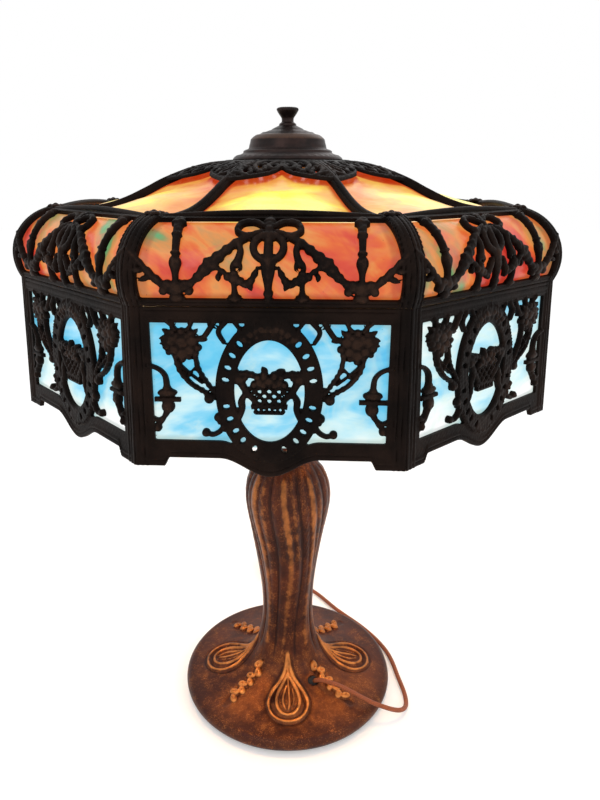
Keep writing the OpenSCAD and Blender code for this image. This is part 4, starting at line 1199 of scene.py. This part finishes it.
class LAMP_OT_stand(bpy.types.Operator):
    """Cast the stand, and finish what stands in and on it"""
    bl_idname = "lamp.stand"
    bl_label = "Stand"

    def execute(self, context):
        colours = context.scene.lamp_colours
        outline, outside = stand_outline(context.scene.lamp_sizes.foot_radius / MM)
        relief = stand_relief(outside)
        points, faces = lathe(outline, STAND_COLUMNS, relief)
        new_piece("stand_casting", points, faces, base_patina(colours), "stand", ("base_casting",),
                  shade={"relief": relief_at(outline, STAND_COLUMNS, relief)}, smooth_angle=50)
        paint(["felt_pad"], soft_stuff("felt", tint(34, 44, 28), tint(66, 80, 50), 1600, 0.95))
        paint(["center_pipe", "pipe_washer", "pipe_locknut", "shade_rod"],
              plain_metal("steel_parts", tint(120, 118, 114), tint(176, 174, 168), 1.0, 0.3))
        paint(["cord_bushing"], soft_stuff("bushing_fibre", tint(12, 10, 9), tint(30, 26, 24), 1200, 0.7))
        paint(["inner_lead"], soft_stuff("lead_cover", tint(70, 44, 26), tint(120, 80, 44), 1200))
        return {"FINISHED"}


class LAMP_OT_castings(bpy.types.Operator):
    """Cast the openwork of the shoulder and the skirt, eight sides of each"""
    bl_idname = "lamp.castings"
    bl_label = "Openwork castings"

    def execute(self, context):
        cell = context.scene.lamp_sizes.casting_grid / MM * 1
        bronze = context.scene["lamp_bronze"] = shade_bronze(context.scene.lamp_colours)
        castings = (("skirt_casting", skirt_field, (-90, -109), (90, 0.5), skirt_place, "skirt_frames"),
                    ("shoulder_casting", shoulder_field, (-90, -0.5), (90, ARC_LEN + 0.5), shoulder_place,
                     "shoulder_frames"))
        for name, field, low, high, place, node in castings:
            points, faces, height = openwork(field, low, high, cell, place, FRAME_T)
            for side in range(SIDES):
                new_piece(f"{name}_{side + 1}", side_turn(points, side), faces, bronze, "shade", (node,),
                          shade={"relief": height}, smooth_angle=45)
        return {"FINISHED"}


class LAMP_OT_roof(bpy.types.Operator):
    """Build the roof's ribs, eave bar, top ring, pierced trim and corner leaves"""
    bl_idname = "lamp.roof"
    bl_label = "Roof frame"

    def execute(self, context):
        bronze = context.scene["lamp_bronze"]
        rib, rib_faces = rib_shape()
        points, faces = joined([(side_turn(rib, k), rib_faces) for k in range(SIDES)])
        place = np.arange(len(points)) % RIB_RING
        bead = 1.2 * ((place > 3) & (place < 13))
        new_piece("roof_ribs", points, faces, bronze, "shade", ("roof_frame",),
                  shade={"relief": bead})
        points, faces = eave_shape()
        new_piece("eave_bar", points, faces, bronze, "shade", ("roof_frame",),
                  shade={"relief": np.full(len(points), 0.8)})
        ring = [(52.2, 525), (58, 525), (58.4, 527), (58, 529.4), (55, 530.4), (52.2, 530)]
        points, faces = lathe(ring, 96)
        new_piece("roof_ring", points, faces, bronze, "shade", ("roof_frame",))
        cell = 0.7 * 1
        points, faces, height = openwork(filigree_field, (-41, -98), (41, -46), cell, filigree_place, 1.6)
        for side in range(SIDES):
            new_piece(f"roof_trim_{side + 1}", side_turn(points, side), faces, bronze, "shade",
                      ("roof_filigree",), shade={"relief": height}, smooth_angle=45)
        boss, boss_faces = leaf_boss()
        out = EAVE_Y / math.cos(HALF_ANGLE) - 5
        bosses = []
        for k in range(SIDES):
            a = (k + 0.5) * 2 * HALF_ANGLE
            for size, back in ((1.0, 0.0), (0.62, 9.0)):
                at = [(out - back) * math.sin(a), -(out - back) * math.cos(a), 495.4]
                bosses.append((boss * [size, size, size] + at, boss_faces))
        points, faces = joined(bosses)
        new_piece("corner_leaves", points, faces, bronze, "shade", ("corner_rosettes",),
                  shade={"relief": np.tile(np.clip(boss[:, 2], 0, 2), 2 * SIDES)})
        paint(["top_spider"], bronze)
        return {"FINISHED"}


PANE_TONE = {"roof": (0.03, -0.08, -0.1, -0.04, -0.06, -0.03, -0.08, -0.12),
             "shoulder": (0.03, 0.07, -0.02, 0.05, -0.04, 0.03, 0.0, -0.03),
             "skirt": (-0.08, 0.06, 0.05, -0.02, 0.04, 0.1, 0.0, -0.02)}


class LAMP_OT_glass(bpy.types.Operator):
    """Set the twenty-four panes of glass into the shade"""
    bl_idname = "lamp.glass"
    bl_label = "Glass"

    def execute(self, context):
        roof, shoulder, skirt = glasses(context.scene.lamp_colours)
        bulge = context.scene.lamp_sizes.glass_bulge / MM
        s, t = np.meshgrid(np.linspace(-1, 1, 49), np.linspace(0, 1, 41))
        rim_s = 1 - np.abs(s)
        for side in range(SIDES):
            wave = 0.35 * ripple(s * 70, t * 60, 40 + side, 14)

            y = EAVE_Y - 4.6 - t * (EAVE_Y - 62.6)
            half = y * TAN_HALF - 2.2
            up = 0.96 - 0.96 * t**0.8
            arch = bulge * (1 - s**2) * np.sin(math.pi * up) ** 0.8 * smoothstep(90, 135, y)
            outer = np.stack([s * half, -y, roof_height(y) - PANE_SUNK + arch + wave * 0.6], -1)
            rim = np.minimum(rim_s * half, 3 + y - trim_edge(s * half)) / 22
            # Painted highlight: a brighter, yellower spot in the middle of each roof pane, where the bulbs shine
            # through it.
            glow = np.exp(-(((s * half) / 38) ** 2 + ((y - 135) / 40) ** 2))
            self.pane("roof_pane", side, outer, s * half, -y, np.clip(rim, 0, 1), roof, "roof_glass",
                      PANE_TONE["roof"][side] + 0.42 * glow - 0.12)

            angle = JOINT_ANGLE + math.radians(4) + t * (EAVE_ANGLE - JOINT_ANGLE - math.radians(10))
            r = SHOULDER_R - FRAME_T - GLASS_GAP
            y = SHOULDER_Y + r * np.cos(angle)
            half = y * TAN_HALF - 1.4
            outer = np.stack([s * half, -y, SHOULDER_Z + r * np.sin(angle)], -1)
            v = r * (angle - JOINT_ANGLE)
            rim = np.minimum(rim_s * half - 8, np.minimum(v - 4, 58 - v)) / 14
            self.pane("shoulder_pane", side, outer, s * half, v, np.clip(rim, 0, 1), shoulder, "shoulder_glass",
                      PANE_TONE["shoulder"][side] + 0 * s)

            v = -89.5 + t * 84
            half = skirt_half(v) - 1.6
            c, sn = math.cos(SKIRT_LEAN), math.sin(SKIRT_LEAN)
            back = -(FRAME_T + GLASS_GAP)
            outer = np.stack([s * half, -(JOINT_Y - v * sn + back * c), JOINT_Z + v * c + back * sn], -1)
            rim = np.minimum(rim_s * half - 9, np.minimum(v + 85, -9 - v)) / 12
            self.pane("skirt_pane", side, outer, s * half, v, np.clip(rim, 0, 1), skirt, "skirt_glass",
                      PANE_TONE["skirt"][side] + 0.24 * smoothstep(-56, -84, v))
        return {"FINISHED"}

    def pane(self, name, side, outer, u, v, rim, material, slot, tone):
        """One pane from the grid of its outside, with its map from u and v and its rim and tone."""
        points, faces = slab(outer, GLASS_T)
        uv = np.stack([u.ravel() / 100 + 3.7 * side + 0.4, v.ravel() / 100 + 1.9 * side], 1)
        both = {"rim": np.tile(rim.ravel(), 2), "tone": np.tile(np.asarray(tone).ravel(), 2)}
        new_piece(f"{name}_{side + 1}", side_turn(points, side), faces, material, "shade",
                  (f"{slot}_{side + 1}",), uv=np.vstack([uv, uv]), shade=both, smooth_angle=60)


class LAMP_OT_crown(bpy.types.Operator):
    """Turn the crown cap and the finial, with the crown's beads and rope and the knob's knurl"""
    bl_idname = "lamp.crown"
    bl_label = "Crown and finial"

    def execute(self, context):
        bronze = crown_bronze(context.scene.lamp_colours)
        outer = smooth_curve([(45.4, 531.2), (46, 531.6), (44.4, 533.6), (40, 535.4), (37.4, 536.6),
                              (36.6, 538.4), (32.8, 540), (31.8, 543.2), (30, 547), (25, 550.6),
                              (17, 553.6), (11.5, 556), (7.4, 557.9)], 6)
        inner = [(3.6, 557.9), (3.6, 554.6), (12, 553.4), (23, 548.6), (28, 545), (29.4, 540), (33, 537),
                 (40, 533.4), (43.6, 531.2)]
        outline, rows = np.vstack([outer, inner]), len(outer)

        def relief(angle, p):
            """Beads and a rope round the outside, a step and two turned lines."""
            r = p[:, :1]
            on = (np.arange(len(p)) < rows)[:, None]
            beads = 0.4 * np.clip(np.cos(angle * 44) + 0.3, 0, 1) * np.exp(-((r - 42.4) / 1.5) ** 2)
            step = 0.7 * smoothstep(24.4, 25.6, r) * smoothstep(31.4, 30, r)
            line = 0.5 * np.exp(-((r - 21) / 0.9) ** 2) - 0.4 * np.exp(-((r - 14) / 1.0) ** 2)
            rope = 0.2 * np.cos(angle * 64 + r * 3) * np.exp(-((r - 34.6) / 1.4) ** 2)
            return on * np.minimum(beads + step + line + rope, 1.2)

        points, faces = lathe(outline, CROWN_COLUMNS, relief)
        new_piece("crown_dome", points, faces, bronze, "shade", ("crown_cap",),
                  shade={"relief": relief_at(outline, CROWN_COLUMNS, relief)})
        profile = smooth_curve([(7.2, 558.1), (6.8, 559.4), (5.2, 560.6), (4.9, 562), (5.2, 563.8), (6.4, 565.6),
                                (7.8, 567.6), (8.7, 569.4), (8.7, 570.8), (7.6, 571.6), (6.2, 571.8)], 4)
        profile = np.vstack([[(0, 558.1)], profile, [(0, 571.95)]])

        def knurl(angle, p):
            """Fine upright grooves round the rim of the knob."""
            return 0.22 * np.cos(angle * 26) * np.exp(-((p[:, 1:] - 570.2) / 1.2) ** 2)

        points, faces = spindle(profile, 156, knurl)
        new_piece("finial_knob", points, faces, bronze, "finial", ("finial",),
                  shade={"relief": np.full(len(points), -0.6)})
        return {"FINISHED"}


def tilted(points, side):
    """Points made about the vertical carried to a light's axis on one side, from the cluster."""
    a = side * (math.pi / 2 - SOCKET_TILT)
    c, s = math.cos(a), math.sin(a)
    return points @ np.array([[c, 0, -s], [0, 1, 0], [s, 0, c]]) + [0, 0, CLUSTER_Z]


class LAMP_OT_lights(bpy.types.Operator):
    """Fit the sockets, bulbs and pull chains, and light the bulbs"""
    bl_idname = "lamp.lights"
    bl_label = "Lights"

    def execute(self, context):
        brass = plain_metal("brass_parts", tint(140, 104, 52), tint(196, 156, 84), 1.0, 0.28)
        cap = plain_metal("bulb_cap", tint(160, 136, 88), tint(206, 186, 138), 1.0, 0.24)
        glow = bulb_glow("bulb_glass", 2.4)
        paint(["neck_collar", "cluster_body", "socket_caps", "socket_shells", "rest_nut", "rest_washer"], brass)
        paint(["socket_liners"], soft_stuff("liner_card", tint(120, 96, 62), tint(172, 142, 98), 900))
        globe = smooth_curve([(12.6, 80), (12.9, 83), (14.2, 88), (17.4, 96), (22.6, 105), (27.2, 115),
                              (29.6, 125), (29.8, 135), (27.4, 145), (22, 153.4), (13.6, 159), (5, 160.8)], 4)
        globe = np.vstack([[(0, 80)], globe, [(0, 161)]])
        z = np.linspace(52.4, 79.8, 66)
        thread = np.vstack([[(0, 52)], np.stack([12.4 + 0 * z, z], 1), [(0, 80)]])

        def screw(angle, p):
            """The thread: a cosine that climbs one pitch a turn."""
            return 0.75 * np.cos(2 * math.pi * p[:, 1:] / 3.6 - angle) * smoothstep(52.4, 54, p[:, 1:])

        bead, bead_faces = spindle([(0, -1.3), (0.75, -1.05), (1.25, -0.4), (1.25, 0.4), (0.75, 1.05),
                                    (0, 1.3)], 8)
        link, link_faces = spindle([(0, -1.0), (0.45, -0.9), (0.45, 0.9), (0, 1.0)], 6)
        bell, bell_faces = spindle([(0, 0), (2.9, 0), (3.2, 1.2), (2.6, 3.4), (1.5, 5.4), (1.3, 8),
                                    (0.9, 9), (0, 9)], 24)
        for side, name in ((1, "right"), (-1, "left")):
            points, faces = spindle(globe, 64)
            new_piece(f"bulb_{name}_globe", tilted(points, side), faces, glow, f"bulb_{name}",
                      (f"bulb_globe_{name}",),
                      shade={"reach": np.clip((points[:, 2] - 80) / 80, 0, 1)}, smooth_angle=0)
            points, faces = spindle(thread, 48, screw)
            new_piece(f"bulb_{name}_cap", tilted(points, side), faces, cap, f"bulb_{name}",
                      (f"bulb_base_{name}",))
            low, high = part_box(f"pull_chain_{name}")
            x, y = (low[0] + high[0]) / 2 / MM, (low[1] + high[1]) / 2 / MM
            top, bottom = high[2] / MM, low[2] / MM
            balls = np.arange(bottom + 9.8, top - 1.3, 3.3)
            parts = [(bell + [x, y, bottom], bell_faces)]
            parts += [(bead + [x, y, h], bead_faces) for h in balls]
            parts += [(link + [x, y, h + 1.65], link_faces) for h in balls[:-1]]
            points, faces = joined(parts)
            new_piece(f"chain_{name}_beads", points, faces, brass, f"chain_{name}",
                      (f"pull_chain_{name}",))
            lamp = bpy.data.lights.new(f"bulb_light_{name}", "POINT")
            lamp.energy, lamp.color = context.scene.lamp_sizes.lamp_watts, (1.0, 0.62, 0.32)
            lamp.shadow_soft_size = 0.03
            light = bpy.data.objects.new(f"bulb_light_{name}", lamp)
            light.location = tilted(np.array([[0, 0, 178.0]]), side)[0] * MM
            context.scene.collection.objects.link(light)
        return {"FINISHED"}


class LAMP_OT_stage(bpy.types.Operator):
    """Lay the pale floor and set the soft studio light"""
    bl_idname = "lamp.stage"
    bl_label = "Floor and studio light"

    def execute(self, context):
        half = 6.0
        s, t = np.meshgrid(np.linspace(-half, half, 9), np.linspace(-half, half, 9))
        mesh = bpy.data.meshes.new("floor")
        points = np.stack([s, t, 0 * s - 0.0002], -1).reshape(-1, 3)
        mesh.from_pydata(points.tolist(), [], grid_faces(9, 9).tolist())
        floor = bpy.data.objects.new("floor", mesh)
        m = Craft("floor_paint")
        cloud = m.noise(m.place(), 1.3, 2, 0.5)
        mesh.materials.append(m.surface(Base_Color=m.mix(cloud, (0.86, 0.86, 0.86, 1), (0.9, 0.9, 0.9, 1)),
                                        Roughness=0.9, Emission_Color=(1, 1, 1, 1), Emission_Strength=0.16))
        context.scene.collection.objects.link(floor)
        world = bpy.data.worlds.new("studio")
        world.use_nodes = True
        sky = world.node_tree.nodes["Background"]
        sky.inputs["Color"].default_value, sky.inputs["Strength"].default_value = (1, 1, 1, 1), 1.0
        context.scene.world = world
        context.scene.view_settings.view_transform = "Standard"
        lamps = (("key", (-0.7, -1.5, 1.5), 1.0, 6), ("fill", (1.4, -1.0, 0.9), 0.8, 4),
                 ("back", (0.3, 1.6, 1.6), 1.4, 5))
        for name, at, size, watts in lamps:
            lamp = bpy.data.lights.new(name, "AREA")
            lamp.size, lamp.energy = size, watts
            light = bpy.data.objects.new(name, lamp)
            light.location = at
            light.rotation_euler = (Vector((0, 0, 0.25)) - Vector(at)).to_track_quat("-Z", "Y").to_euler()
            context.scene.collection.objects.link(light)
        return {"FINISHED"}


class LAMP_PT_panel(bpy.types.Panel):
    """The lamp's pieces and settings"""
    bl_label = "Panel Lamp"
    bl_idname = "LAMP_PT_panel"
    bl_space_type = "VIEW_3D"
    bl_region_type = "UI"
    bl_category = "Lamp"

    def draw(self, context):
        for group in (context.scene.lamp_sizes, context.scene.lamp_colours):
            for key in group.bl_rna.properties.keys():
                if key not in ("rna_type", "name"):
                    self.layout.prop(group, key)
        for operator in OPERATORS:
            self.layout.operator(operator.bl_idname)


OPERATORS = (LAMP_OT_camera, LAMP_OT_cord, LAMP_OT_stand, LAMP_OT_castings, LAMP_OT_roof, LAMP_OT_glass,
             LAMP_OT_crown, LAMP_OT_lights, LAMP_OT_stage)
CLASSES = (LampSizes, LampColours) + OPERATORS + (LAMP_PT_panel,)


def register():
    for cls in CLASSES:
        bpy.utils.register_class(cls)
    bpy.types.Scene.lamp_sizes = bpy.props.PointerProperty(type=LampSizes)
    bpy.types.Scene.lamp_colours = bpy.props.PointerProperty(type=LampColours)


def unregister():
    del bpy.types.Scene.lamp_colours, bpy.types.Scene.lamp_sizes
    for cls in reversed(CLASSES):
        bpy.utils.unregister_class(cls)


def main():
    register()
    for step in ("camera", "cord", "stand", "castings", "roof", "glass", "crown", "lights", "stage"):
        getattr(bpy.ops.lamp, step)()


if __name__ == "__main__":
    main()
